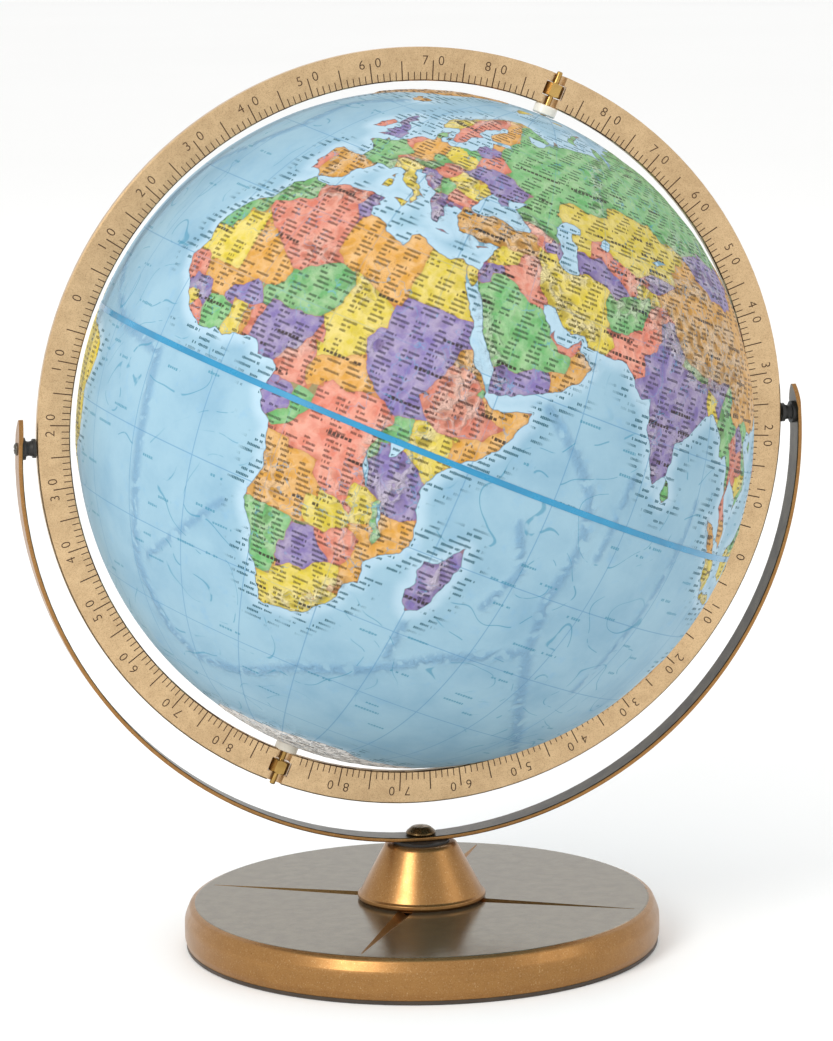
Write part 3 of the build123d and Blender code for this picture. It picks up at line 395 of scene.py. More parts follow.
# Country borders, as open lines divided by semicolons.
BORDERS = {
    "africa": (
        "-2.1 35.3 -1.7 33 -1.2 32.2 -3.6 30.9 -5.5 29.9 -8.7 28.7 -8.7 27.3 ; -13.5 27.7 -8.7 27.7 ; "
        "-8.7 27.3 -4.8 25 1.2 21.1 3.2 19.7 4.2 19.2 5.8 19.5 12 23.5 ; -17.3 21.3 -13 21.3 -13 23 -12 "
        "23.4 -12 26 -8.7 26 -8.7 27.3 ; -4.8 25 -6.6 25 -5.5 16.5 -5.4 15.5 -9.4 15.4 -11.4 15.6 -12.2 "
        "14.8 -14 16.3 -16.8 16.1 ; 4.2 19.2 4.2 16.5 3.5 15.4 0.4 14.9 -1.1 15 -2.8 13.7 -4.3 13.1 -5.5 "
        "11 -5.5 10.4 -8 10.2 -9.2 12.4 -11.4 12.3 -12.2 14.8 ; -17.2 12.4 -13.7 12.6 -11.4 12.3 ; -13.7 "
        "12.6 -13.8 11.5 -15.3 10.8 ; -13.6 8.9 -12.5 9.9 -11 10 -10.3 8.5 -11.7 6.7 ; -10.3 8.5 -8.4 7.6 "
        "-7.5 4.1 ; -8.4 7.6 -8 10.2 ; -3 4.8 -2.9 7.5 -2.7 9.6 -5.5 10.4 ; -2.7 9.6 -2.8 11 0 11.1 0.5 7 "
        "1.2 5.8 ; 0 11.1 0.9 11 1.6 9 1.6 5.9 ; 0.9 11 2.4 12 0.4 14.9 ; 2.7 6.1 2.8 9 3.6 11.7 2.4 12 ; "
        "3.6 11.7 4.1 13.5 7 13 9 12.8 13.5 13.7 ; 8.6 4.3 10.5 7 12 7.5 13.3 10 14.3 12.5 13.5 13.7 13.6 "
        "14.5 15.5 16.9 15.9 20.4 15 23 14.2 22.6 12 23.5 ; 15 23 24 19.5 24 20 25 20 25 22 25.1 32 ; 24 "
        "19.5 24 15.7 22.9 15.5 22 13 22.9 11.1 20 9 18 8.5 15.5 7.5 13.9 9.7 15.4 10 15 12 14.3 12.7 ; "
        "12 23.5 10 24.5 9.5 26.5 9.9 29 9.6 30.2 9 32 7.5 33.8 8.2 35 8.6 37.3 ; 9.6 30.2 10.3 31.8 11.7 "
        "33.4 ; 25 22 37.3 22 ; 22.9 11.1 24 8.7 27.4 5.1 30.8 3.6 34 4.2 35.9 4.7 34 7 33 8 34.1 9.5 "
        "34.3 10.8 36.1 12.8 36.5 14.3 37 17 38.8 18.2 ; 36.5 14.3 38 14.7 40 14.5 42.4 12.5 41.8 11.2 43 "
        "11 43.4 11.5 ; 42.4 12.5 43.3 12.6 ; 42.9 11 44 9 47 8 48 8 45 5 42 4.2 38 3.7 35.9 4.7 ; 42 4.2 "
        "41 2.8 41 -0.9 41.8 -1.9 ; 34 4.2 34.9 1 34 0.2 ; 34 -0.9 37.6 -3 39.5 -4.9 ; 31.9 -1 30.5 -1 "
        "29.6 -1.3 29.9 0.7 31.2 2.2 30.8 3.6 ; 29.6 -1.3 29 -2.7 29.3 -4.4 30.7 -3.2 30.5 -1 ; 30.8 -8.4 "
        "28.7 -8.6 28.4 -11.9 29.8 -12.2 29.8 -13.4 27.5 -12.2 24 -11 24 -13 22 -13 22 -16.2 23.3 -17.6 "
        "25.3 -17.8 27 -17.9 28.8 -16 30.4 -15.8 30.4 -15.1 33.2 -14 33 -9.5 30.8 -8.4 ; 33 -9.5 34 -9.6 "
        "; 33.2 -14 34.5 -14.5 34.4 -16.3 35.3 -17.1 35.8 -15 34.8 -13.5 ; 34.5 -11.6 37 -11.7 40.7 -10.6 "
        "; 30.4 -15.8 32.8 -16.8 32.8 -20 31.3 -22.4 29.4 -22.2 27.7 -20.8 26 -19.5 25.3 -17.8 ; 29.4 "
        "-22.2 27 -23.7 25.7 -25.6 23 -25.4 20.8 -26.9 20 -24.8 20 -22 21 -22 21 -18.3 23.4 -18 25.3 "
        "-17.8 ; 20 -24.8 20 -28.4 17.4 -28.7 16.2 -28.6 ; 11.6 -17.2 14 -17.4 18.4 -17.4 21 -17.9 23.3 "
        "-17.6 ; 31.3 -22.4 32 -24.5 32 -26.8 33 -26.9 ; 27 -29.6 28.5 -28.7 29.4 -29.6 28.2 -30.6 27 "
        "-29.6 ; 31 -25.9 32 -26 ; 31 -25.9 31 -27.2 32 -27.2 ; 12.1 -6 16.5 -5.9 16.9 -7.2 19.5 -7 21.7 "
        "-7.3 21.9 -9.7 24 -10.9 ; 12 -5 12.9 -5 16 -3.5 16.2 -2 17.7 -0.5 18 3.5 18.6 4.3 19.5 5.1 22.5 "
        "4.1 25 5.1 27.4 5.1 ; 11.1 -4.2 12.5 -2.3 14.4 -2 13.9 0 14.2 1.3 13.2 2.2 11.3 2.2 9.6 2.3 ; "
        "9.6 1 11.3 1 11.3 2.2 ; 13.2 2.2 16.1 2.2 15 4 14.5 6 15.5 7.5 ; 16.1 2.2 16.6 3.5 18.6 3.5 18.6 "
        "4.3 "
    ),
    "asia": (
        "34.9 29.3 34.2 31.4 ; 34.9 29.5 35.5 31.5 35.6 33.2 35 33.1 ; 35.6 33.2 36.5 34.5 35.9 34.7 ; "
        "34.9 29.4 36 29.2 37.5 30 37 31.5 39 32.1 42 31.1 44.7 29.2 46.5 29.1 48.6 28.5 ; 35.6 32.8 38.8 "
        "33.4 39.2 32.1 ; 38.8 33.4 41 34.4 41.3 36.5 42.3 37.2 38.5 36.8 36.7 36.8 35.8 35.9 ; 42.3 37.2 "
        "44.8 37.2 45.4 36 46 33 47.7 31 48.6 29.8 ; 46.5 29.1 47.9 30.1 ; 44.8 37.2 44.3 39.4 44.8 39.7 "
        "43.7 40.1 43.5 41.1 41.4 41.5 ; 44.8 39.7 46.5 38.9 48 39.6 49 38.4 ; 43.5 41.1 46.4 41.1 46.7 "
        "41.8 ; 45 41.2 46.5 38.9 ; 39.9 43.4 43 43.2 46.7 41.8 47.5 41.3 48.8 41.9 ; 42.6 16.5 44 17.4 "
        "47 17 49 18.6 52 19 53.1 16.4 ; 52 19 55 20 55.7 22 55.2 22.7 56 24 56.5 24.8 ; 51.5 24.3 52.6 "
        "22.9 55.2 22.7 ; 50.6 24.6 51.6 24.6 ; 53.7 37.3 56 38.1 59.3 37.4 61.2 36.6 60.6 34 60.8 31.5 "
        "61.8 30.9 60.9 29.8 62.8 28.2 63.2 27.2 61.6 25 ; 60.9 29.8 66.3 29.9 67.5 31.3 69.4 32 70 34 "
        "71.6 36 74.9 37.3 ; 61.2 36.6 62.5 35.3 64.5 36.3 66.5 37.4 69 37.2 71 38.3 71.5 36.7 74.9 37.3 "
        "73.7 39.4 70.5 40 67.7 39.5 68 37.1 ; 73.7 39.4 76.5 40.4 80.2 42.1 73.5 43 70.8 42.2 68 41 66 "
        "42 62 43.5 60.8 44.2 ; 70.5 40 72 40.9 70.8 42.2 ; 66.5 37.4 62 40 60.2 41.2 58.5 42.6 56 41.3 "
        "54.5 42 52.5 41.8 ; 56 41.3 56 45 58.6 45.5 ; 80.2 42.1 80.3 45 82.5 45.2 83 47.2 85.7 47.2 87.5 "
        "49.1 ; 49.2 46.2 47 48 47.5 50.3 51 51.6 55 50.7 58.5 51 61.5 51 61 52.8 62 54 65 54.4 71 54.3 "
        "73.5 53.5 76.8 54.3 80 50.8 83.4 51 87.5 49.1 91 46.5 91 45.2 95.4 44.2 96.4 42.7 101.8 42.5 105 "
        "41.6 110 42.6 111.9 43.7 112 45 116 46.3 119.8 46.7 115.7 47.7 116.7 49.8 114 50.2 107 49.7 "
        "102.3 50.6 98.3 52 98 50.5 92 50.7 87.5 49.1 ; 116.7 49.8 119.5 52.5 121 53.3 125.5 53.1 127.5 "
        "50 130.8 48.9 134.7 48.3 133.2 45 131.2 45 131 43 130.6 42.2 ; 124.2 39.9 126.9 41.8 130.7 42.3 "
        "; 126.4 37.8 128.5 38.6 ; 74.9 37.3 78 35.5 79 32.5 81 30.2 86 28 88 27.9 92 27.8 97 28.3 98.7 "
        "27.5 97.7 24 99.3 22.2 101.2 21.5 102.2 22.4 105.3 23.3 108.1 21.5 ; 81 30.2 80.1 28.8 84 27.4 "
        "88.1 26.5 88 27.9 ; 88.9 27.9 88.9 27 92 26.9 92 27.8 ; 97 28.3 96 27.2 94.6 25 93.3 24 92.7 22 "
        "92.2 20.9 ; 89 21.6 88.6 24.2 88.4 26.3 89.8 25.9 92.4 25 91.3 23.5 92.6 22 ; 101.2 21.5 100.1 "
        "20.4 97.5 18.5 98.9 16 99.2 12 98.6 9.8 ; 100.1 20.4 101.2 17.6 104 18.3 105.5 14.4 102.5 13.6 "
        "102.9 11.5 ; 105.5 14.4 107.5 14.4 107.5 15 105.5 18.5 104 20 102.2 22.4 ; 107.5 14.4 107.4 12.3 "
        "106 11 104.4 10.2 ; 100 6.4 102.2 6.2 ; 78 35.5 74 34 74.5 31 72.5 29 70 27.8 70.8 24.5 68.2 "
        "23.4 ; 109.4 1.9 111.8 1 114 1.4 115 3 115.8 4.3 118 4.1 ; 141 -2.4 141 -9.3 ; 125 -8.4 125.1 "
        "-9.8 "
    ),
    "europe": (
        "-9 41.9 -6.5 41.8 -7 39.7 -7.3 38.4 -7.4 37 ; -1.8 43.6 3.3 42.4 ; 7.5 43.6 7 45.9 10.4 46.6 "
        "13.7 46.5 13.7 45.5 ; 7 45.9 6 46.2 7.6 47.6 8.2 49 6.4 49.4 4.2 49.9 2.4 51.2 ; 3.4 51.5 6 50.8 "
        "6.4 49.4 ; 6 50.8 6.8 52 7.1 53.7 ; 8.5 54.9 10 54.8 ; 7.6 47.6 9.6 47.5 10.4 46.6 ; 9.6 47.5 13 "
        "47.6 13.8 48.7 16.9 48.7 17.1 48 16.1 46.8 13.7 46.5 ; 13.8 48.7 12.2 50.3 14.8 50.9 18.8 49.6 "
        "22.5 49.1 24 50.5 23.6 51.5 23.5 54 22.8 54.4 19.5 54.4 ; 14.8 50.9 14.2 54.1 ; 16.9 48.7 18.8 "
        "49.6 ; 17.1 48 19 48.1 22.2 48.4 22.5 49.1 ; 22.2 48.4 24.9 47.8 26.6 48.2 28.2 45.5 29.8 45.2 ; "
        "26.6 48.2 29 47.8 30.2 46.3 ; 22.2 48.4 20.3 46.2 18.8 45.9 16.1 46.8 ; 18.8 45.9 19 45 15.8 "
        "45.2 17.7 42.9 ; 19 45 19.3 43.5 18.5 42.3 ; 19.3 43.5 20.5 42.2 ; 20.3 46.2 22.7 44.5 25.5 43.7 "
        "28.7 43.8 ; 22.7 44.5 22.4 42.3 23 41.4 21 40.9 20.5 42.2 22.4 42.3 ; 19.3 41.9 20.5 42.2 ; 21 "
        "40.9 19.9 39.6 ; 23 41.4 26.3 41.7 28.1 42 ; 26.3 41.7 26 40.6 ; 23.5 54 25.5 54.3 26.6 55.7 "
        "28.2 56.2 30.8 54.8 32.5 53.3 31.8 52.1 23.6 51.5 ; 31.8 52.1 34.2 51.3 38 49.9 40 49.5 38.2 47 "
        "; 20.9 56.1 25 56.3 26.6 55.7 ; 22.8 54.4 21 55.3 ; 24.3 57.9 27.4 57.5 28.2 56.2 ; 27.4 57.5 28 "
        "59.6 ; 28 60.3 31.3 62.6 29.8 65 29 67 28.5 68.3 29 69 27.9 70 26 69.7 25.7 69 20.6 69.1 23.6 "
        "67.9 24.1 65.6 ; 29 69 31 69.9 ; 20.6 69.1 16.4 67.8 14.5 65.8 12.2 63.5 12.5 61 11.3 58.8 ; "
        "-8.3 54.6 -6 54.1 "
    ),
    "north_america": (
        "-123.3 49 -95.2 49 -92 48.3 -89.5 48 -84.5 46.5 -82.6 43 -79 43 -75 45 -71.5 45 -70.3 46 -69.2 "
        "47.4 -67.8 47 -66.9 44.7 ; -141 69.9 -141 60.3 -137.5 58.9 -135 59.4 -130 55.8 -130.3 54.5 ; "
        "-117.4 32.5 -114.8 32.6 -111 31.3 -108.2 31.3 -106.5 31.8 -104.5 29.6 -103 29 -101.4 29.8 -99.5 "
        "27.5 -96.9 25.9 ; -92.4 14.3 -92.2 15.3 -91.4 16.1 -91 17.8 -89.1 17.9 -88 18.4 ; -89.1 17.9 "
        "-89.1 15.9 -88.5 15.8 ; -88.4 15.9 -89.3 14.4 -90.2 13.6 ; -83 15 -86 14 -87.6 12.8 ; -89.3 14.4 "
        "-87.7 13.2 ; -83.5 10.9 -85.9 11.1 ; -82.4 9.7 -82.9 8.1 ; -71.7 20 -71.8 17.8 "
    ),
    "south_america": (
        "-71.3 12.4 -72.5 9 -72 7 -67.5 6.2 -67 1.2 -69.8 1.7 -69.4 -1 -69.9 -4.3 -73 -5 -74 -7.5 -73 "
        "-9.4 -70.6 -9.5 -70.5 -11 -69.5 -11 ; -67 1.2 -64 1.9 -63.4 4 -60.7 5.2 -61.2 6 -59.9 8.7 ; "
        "-60.7 5.2 -59.8 2 -56.5 1.9 -54.5 2.3 -52.7 2.2 -51.4 4.6 ; -57 6.2 -57.5 3.3 -56.5 1.9 ; -54 6 "
        "-54.5 2.3 ; -69.9 -4.3 -72.5 -2.4 -75.2 -0.1 -77.5 0.4 -79.2 1.7 ; -75.2 -0.1 -76 -2.5 -78.3 "
        "-3.4 -79 -5 -80.6 -3.4 ; -69.5 -11 -69 -14 -69.5 -17.5 -70.7 -18.4 ; -69.5 -11 -65.3 -10 -65.3 "
        "-12 -60.5 -13.7 -60.2 -16.2 -58.3 -16.3 -57.7 -18 -58.2 -20.1 -62.2 -20.5 -62.6 -22.2 -64.5 "
        "-22.5 -66.3 -21.8 -67.2 -22.8 -68.5 -20 -69.5 -17.5 ; -67.2 -22.8 -68.5 -25 -69.5 -29 -70 -33.3 "
        "-71.2 -37 -71.8 -42 -71.8 -46 -73.4 -50 -72 -52 -68.3 -52.4 -68.6 -55.4 ; -62.6 -22.2 -57.7 "
        "-25.2 -58.6 -27.3 -56 -27.3 -54.6 -25.6 -54.3 -24.1 -55.8 -22.3 -57.9 -22.1 -58.2 -20.1 ; -54.6 "
        "-25.6 -53.7 -26.5 -57.6 -30.2 -58.5 -34 ; -57.6 -30.2 -53.3 -33.8 "
    ),
    "lake_joins": (
        "29.3 -4.4 29.2 -3.4 ; 30.8 -8.4 31 -8.6 "
    ),
}

# A point in each printed country, under the ink that fills it.
TINTS = {
    "red": (
        "3 28 -14.5 14.5 12.5 5.5 23 -3 40 8.5 30 -19 44 32.5 63 41.5 68 28 101.5 16 15 62 25.5 42.7 28 "
        "53.5 43.5 42.2 -9.5 6.5 2.3 9.5 4.8 50.6 -8 39.5 -8 53.2 8 46.8 54.5 23.5 19.5 48.7 138 36.5 143 "
        "43 131 33 -72 4 -71 -38 -69.9 -25 -83 9 -77.5 21 122 14 171 -44 -90 15.5 -100 40 "
    ),
    "orange": (
        "18 27 -2 17.5 20.5 6.8 45.5 4 17 -12 38 -14 34.5 -20 36 -17 33.3 -24 56 21 35 39 27.5 41.5 105 "
        "33 -4 40 26 63 10.5 51 25.5 58.8 102.3 4.5 39.3 15.4 -19 65 0.9 8.5 134 -24 -78 -2 -64 -17 -56 "
        "-33 -86.5 14.5 -70.5 19 -42 72 147 -42 146 -6 "
    ),
    "yellow": (
        "-10 19.5 30 26 33.8 29.5 18.5 14.5 -1 7.5 38 0.5 26.5 -13.5 24 -30 54 32.5 39 35 68 48 71 38.8 "
        "19.5 52 25 46 12.5 42.5 14 37.6 9 40 9 61.5 17 78.5 90 24 102 -1 110 -7.3 114 -1 120.5 -2.5 137 "
        "-4 105 12.7 -11.8 8.5 -50 -12 -102 23.5 176 -39 -80 8.5 121 23.7 -58 5 "
    ),
    "green": (
        "-6 31.5 -13.5 24.5 9 17.5 -5.5 7.5 15.5 -1 32.5 1.5 17 -21 33.9 -13 44.5 24 65.5 33.5 95 61 -175 "
        "66.5 21.5 54.9 143 50 57 73 2.5 47 96 21 81 7.5 106 16.7 84 28.2 9.3 56 14.5 47.5 21 44 42.7 "
        "11.6 127 40 116 5.4 125 7.5 -105 57 -66 7 -64 -38 -85 12.7 -77.3 18.1 -56 49 -70 69 -80 80 "
    ),
    "purple": (
        "29.5 12 8 9.5 -1.8 12.3 -11 11.3 9.5 34.5 11.8 -0.6 35 -6.5 24 -22 46.5 -19.5 47.5 15.8 36.5 31 "
        "59 39.5 74.5 41.7 79 22 93.5 26 103 46.5 32 49 24 55.5 -2 53 102.5 19.5 48 40.5 22 39.3 16.5 "
        "45.3 127.8 36.5 -75 -10 -58 -23.5 -152 65 -90 18.3 -55.5 4 142 -5 "
    ),
    "ice": (
        "0 -85 90 -75 "
    ),
}

# Raised lines: height in mm, half width in degrees, then the line itself.
RANGES = {
    "asia": (
        "1.5 2.0 73 35 78 32 84 28.8 90 28 96 29 ; 0.9 4.5 80 34 88 33 96 33 101 31 ; 1.0 1.6 76 37 84 36 "
        "92 36 98 38 103 37 ; 1.1 1.6 68 39.5 74 41.5 80 42.5 88 43.5 93 43 ; 1.1 1.6 63 34.5 68 35.5 72 "
        "37 ; 0.8 2 84 51 90 48.5 97 47 103 45 ; 0.6 2.5 90 53 98 52 106 50 115 56 125 57 133 57 ; 0.7 3 "
        "128 68 131 64 140 62 ; 0.7 2.6 140 66 150 63 160 66 172 67 ; 0.7 1.2 157 52 160 56 163 60 ; 1.0 "
        "1.5 44 37 47 34 50 31.5 54 29 58 28 ; 0.9 1 49 37 52 36 56 37 ; 1.1 0.9 39 44 43 43 48 41.3 ; "
        "0.8 1.5 30 37 34 37.5 38 38.5 43 39 ; 0.7 1 32 41 37 40.5 42 40.8 ; 0.8 1.2 36.5 26 40 21 43 17 "
        "44.5 14.5 ; 0.7 0.8 57 23.5 59 22.8 ; 0.5 0.7 34 28.5 36 31.5 36 34 ; 0.6 0.9 73.5 19 75 14 77 "
        "9.5 ; 0.4 1 79 14 83 18.5 ; 0.3 3 78 22 80 18 ; 0.7 1.1 94 20 94.5 24 97 27 ; 0.6 1.3 98.5 19 "
        "101 20 104 20 107 15.5 108 12.5 ; 0.9 2 100 26 102 30 104 33 ; 0.7 1.2 104 34 110 33.5 ; 0.5 2 "
        "108 26 113 25.5 118 27 ; 0.5 1.3 112 36 115 40.5 120 43 ; 0.5 1.2 119 45 122 50 ; 0.5 1.2 127 42 "
        "129 40 ; 0.5 0.8 128.5 37 128 36 ; 0.9 0.9 131 33 135 34.8 138 36 140.5 38.5 141 40 ; 0.7 0.7 "
        "142 43 144 43.6 ; 0.8 0.7 95.5 5 99 1.5 101.5 -1.5 104 -5 ; 0.8 0.5 106 -6.8 110 -7.3 114 -8 ; "
        "0.7 1.3 111 1 114 2.5 116.5 5.8 ; 0.8 0.7 120 -3 120 0.5 ; 1.1 1.1 133 -1.5 137 -4 142 -5.2 147 "
        "-8.5 ; 0.7 0.7 121 17 121 14 ; 0.7 0.6 125 8 125 7 "
    ),
    "africa": (
        "0.8 1.2 -9 30.5 -5 32.5 0 34 6 35.3 9 36 ; 0.6 2 5 23 8 23 ; 0.7 1.8 17 21 18 20 ; 1.0 2.2 38 "
        "14.5 39 10 37.5 7 41 9 ; 0.8 1.5 36.5 3 36 -1 35.5 -4 35 -8 ; 0.8 1.2 30 2 29 -2 30 -6 34 -10 35 "
        "-15 ; 0.6 1.2 9.5 4.5 11 7 14 9 ; 0.8 1.3 32 -25 29.5 -29 27 -31.5 22 -32.5 ; 0.5 2.5 14 -10 16 "
        "-13 15 -17 17 -22 ; 0.4 1.5 -12 11 -9 8 ; 0.5 1.5 24 13 23 12 ; 0.4 2.5 27 -10 31 -13 31 -19 ; "
        "0.6 1 47 -15 47 -19 46.5 -22.5 "
    ),
    "europe": (
        "1.2 0.9 6.5 44.5 8 46.2 11 46.8 14.5 47 ; 0.9 0.6 -1.5 42.9 2 42.5 ; 0.5 1.2 -5 40.3 -3 37.3 ; "
        "0.5 0.9 -6 42.8 -4 42.9 ; 0.6 0.6 9 44.4 12.5 43 14.5 41.5 16 39.5 ; 0.8 0.9 15 45 18 43.5 20.5 "
        "42 21.5 39.5 22.5 37.5 ; 0.6 0.7 23 43 26 42.6 ; 0.8 0.8 18.5 49.3 22 49 25 47.5 25.5 45.5 22.5 "
        "45.3 ; 0.9 1.3 7 60.5 10 62.5 14 65.5 18 68.3 22 69.3 ; 0.7 1.2 58 52 59.5 57 60 62 65 67 ; 0.5 "
        "0.6 -4.5 57 -3.5 54.5 ; 0.6 1.2 -18.5 64.8 -17 65 "
    ),
    "americas": (
        "1.4 1.3 -73 9 -75.5 5 -78 0 -78.5 -6 -75 -12 -70 -16.5 -67.5 -22 -69.5 -30 -70.5 -37 -72 -44 -73 "
        "-50 ; 0.8 2 -69 -16 -67 -20 ; 0.5 2.5 -44 -20 -42 -14 -49 -25 ; 0.5 1.5 -66 3 -61 5 ; 1.1 1.3 "
        "-156 60.5 -151 63 -145 62.5 -140 60.8 ; 0.7 1.3 -160 68 -148 68.3 -141 68.5 ; 0.7 1.6 -137 65 "
        "-130 63 -126 59 ; 0.9 1 -135 59 -129 55 -124 50.5 -121.5 46 -121.7 42 ; 0.9 1.7 -125 57 -118 "
        "52.5 -113.5 47.5 -109.5 43 -106 39 -105.5 35 ; 0.8 0.8 -120.5 40 -118.5 36.5 ; 0.5 2 -116 40 "
        "-112 37 ; 0.9 1.1 -108.5 29.5 -105 24 -103 20 -98 18.5 ; 0.8 0.9 -100.5 25 -98.5 20.5 -96.5 17 ; "
        "0.7 0.8 -92 15.3 -88 14.5 -84 10 -81 8.5 ; 0.5 0.6 -115.5 31 -112 26 ; 0.6 1 -84 35 -80 38 -76 "
        "41 -71.5 44.2 -66 48.5 ; 0.8 3 -45 62 -44 68 -38 74 ; 0.6 1.3 -64 65.5 -70 69 -78 72.5 ; 0.7 1.5 "
        "-80 79 -72 82 ; 0.4 1.8 -64 58 -70 54 ; 0.5 0.5 -76 20.1 -71 19 "
    ),
    "oceania": (
        "0.5 1.2 145.5 -17 148 -22 151.5 -28 150 -33 147 -37 ; 0.3 3 120 -24 132 -23.5 ; 0.9 0.8 167.5 "
        "-45 171 -43.3 ; 0.6 0.6 175.5 -39.3 176 -38.8 "
    ),
    "antarctica": (
        "0.8 3 160 -78 -170 -84 -100 -82 ; 0.9 1.2 -60 -67 -64 -72 ; 0.5 7 80 -78 30 -77 "
    ),
    "seabed": (
        "0.2 1.2 -20 62 -31 55 -28 45 -33 37 -43 28 -45 18 -41 8 -28 0 -14 -2 -13 -12 -13 -25 -14 -38 -8 "
        "-50 0 -54 15 -52.5 ; 0.2 1.2 15 -52.5 30 -45 43 -40 55 -32 66 -27 70 -25 ; 0.2 1.1 70 -25 67 -15 "
        "68 -5 66 3 60 9 54 13.5 ; 0.2 1.2 70 -25 78 -35 88 -42 105 -49 130 -50 150 -58 170 -62 ; 0.2 0.7 "
        "90 8 89 -5 88 -18 88 -30 ; 0.2 1.4 -108 20 -104 10 -103 0 -109 -12 -113 -25 -112 -38 -118 -52 "
        "-145 -58 -170 -62 ; 0.2 0.9 -110 -35 -92 -39 -76 -46 ; 0.2 0.9 46 -28 46 -35 ; 0.2 0.9 56 -5 60 "
        "-12 57 -20 ; 0.2 0.8 73 8 72 -6 ; 0.2 0.8 8 -20 0 -28 -10 -36 ; 0.2 0.8 -155 20 -170 26 173 32 "
        "170 45 168 52 "
    ),
}

MEMORY = {}


def srgb(text):
    """A colour from a paint chip's hex number, as light values."""
    parts = [int(text[i : i + 2], 16) / 255 for i in (0, 2, 4)]
    return tuple(c / 12.92 if c <= 0.04045 else ((c + 0.055) / 1.055) ** 2.4 for c in parts)


# Shader building


class Wire:
    """One output in a material, so that sums on it read as plain Python."""

    def __init__(self, paint, output):
        self.paint = paint
        self.output = output

    def math(self, operation, *others):
        inputs = dict(enumerate((self,) + others))
        return self.paint.node("ShaderNodeMath", {"operation": operation}, inputs)

    def __add__(self, other):
        return self.math("ADD", other)

    def __sub__(self, other):
        return self.math("SUBTRACT", other)

    def __mul__(self, other):
        return self.math("MULTIPLY", other)

    def __truediv__(self, other):
        return self.math("DIVIDE", other)

    def __lt__(self, other):
        return self.math("LESS_THAN", other)

    def __gt__(self, other):
        return self.math("GREATER_THAN", other)

    def __rsub__(self, other):
        return self.paint.node("ShaderNodeMath", {"operation": "SUBTRACT"}, {0: other, 1: self})

    def __rtruediv__(self, other):
        return self.paint.node("ShaderNodeMath", {"operation": "DIVIDE"}, {0: other, 1: self})

    def __neg__(self):
        return self * -1.0

    __radd__ = __add__
    __rmul__ = __mul__

    def span(self, low, high, start=0.0, end=1.0):
        """Runs smoothly from start to end while this goes from low to high."""
        inputs = {0: self, 1: low, 2: high, 3: start, 4: end}
        return self.paint.node("ShaderNodeMapRange", {"interpolation_type": "SMOOTHSTEP"}, inputs)


class Paint:
    """One material under construction."""

    def __init__(self, name):
        self.material = bpy.data.materials.new(name)
        self.material.use_nodes = True
        self.tree = self.material.node_tree
        self.tree.nodes.clear()

    def node(self, kind, settings=None, inputs=None, output=0):
        made = self.tree.nodes.new(kind)
        for key, value in (settings or {}).items():
            setattr(made, key, value)
        for key, value in (inputs or {}).items():
            if isinstance(value, Wire):
                self.tree.links.new(value.output, made.inputs[key])
            else:
                made.inputs[key].default_value = value
        return Wire(self, made.outputs[output])

    def place(self):
        return self.node("ShaderNodeTexCoord", output="Object")

    def split(self, vector):
        xyz = self.node("ShaderNodeSeparateXYZ", None, {0: vector})
        outputs = xyz.output.node.outputs
        return [Wire(self, outputs[i]) for i in range(3)]

    def join(self, x, y, z=0.0):
        return self.node("ShaderNodeCombineXYZ", None, {0: x, 1: y, 2: z})

    def vector(self, operation, a, b, output=0):
        return self.node("ShaderNodeVectorMath", {"operation": operation}, {0: a, 1: b}, output)

    def noise(self, where, scale, detail=3.0, roughness=0.5):
        inputs = {"Vector": where, "Scale": scale, "Detail": detail, "Roughness": roughness}
        return self.node("ShaderNodeTexNoise", None, inputs, "Fac")

    def ridges(self, where, scale, detail=4.0):
        inputs = {"Vector": where, "Scale": scale, "Detail": detail, "Gain": 1.6, "Offset": 0.9}
        settings = {"noise_type": "RIDGED_MULTIFRACTAL", "normalize": True}
        return self.node("ShaderNodeTexNoise", settings, inputs, "Fac")

    def chance(self, x, y):
        settings = {"noise_dimensions": "2D"}
        return self.node("ShaderNodeTexWhiteNoise", settings, {"Vector": self.join(x, y)}, "Value")

    def mix(self, a, b, share):
        settings = {"data_type": "RGBA"}
        inputs = {0: share}
        for key, colour in ((6, a), (7, b)):
            inputs[key] = colour if isinstance(colour, Wire) else (*colour[:3], 1.0)
        return self.node("ShaderNodeMix", settings, inputs, 2)

    def attribute(self, name, output="Fac"):
        return self.node("ShaderNodeAttribute", {"attribute_name": name}, None, output)

    def bump(self, height, distance, strength=1.0, below=None):
        inputs = {"Height": height, "Distance": distance, "Strength": strength}
        if below is not None:
            inputs["Normal"] = below
        return self.node("ShaderNodeBump", None, inputs)

    def done(self, inputs):
        shader = self.node("ShaderNodeBsdfPrincipled", None, inputs)
        self.node_out(shader)
        return self.material

    def node_out(self, shader):
        out = self.tree.nodes.new("ShaderNodeOutputMaterial")
        self.tree.links.new(shader.output, out.inputs["Surface"])


# Small mesh helpers


def new_object(name, mesh):
    made = bpy.data.objects.new(name, mesh)
    bpy.context.scene.collection.objects.link(made)
    return made


def dress(node, material):
    """Puts a finish on a piece through the slots that it has."""
    piece = frame["nodes"][node]
    if not piece.material_slots:
        piece.data.materials.append(material)
    for place in piece.material_slots:
        place.material = material


def numbers(text):
    return np.array([float(part) for part in text.split()]).reshape(-1, 2)


# The printed map


def to_ball(places, first_meridian):
    """Directions from the ball's middle for longitudes and latitudes, before the axis is leaned."""
    lon = np.radians(places[:, 0] - first_meridian)
    lat = np.radians(places[:, 1])
    return np.stack([np.cos(lat) * np.sin(lon), -np.cos(lat) * np.cos(lon), np.sin(lat)], 1)


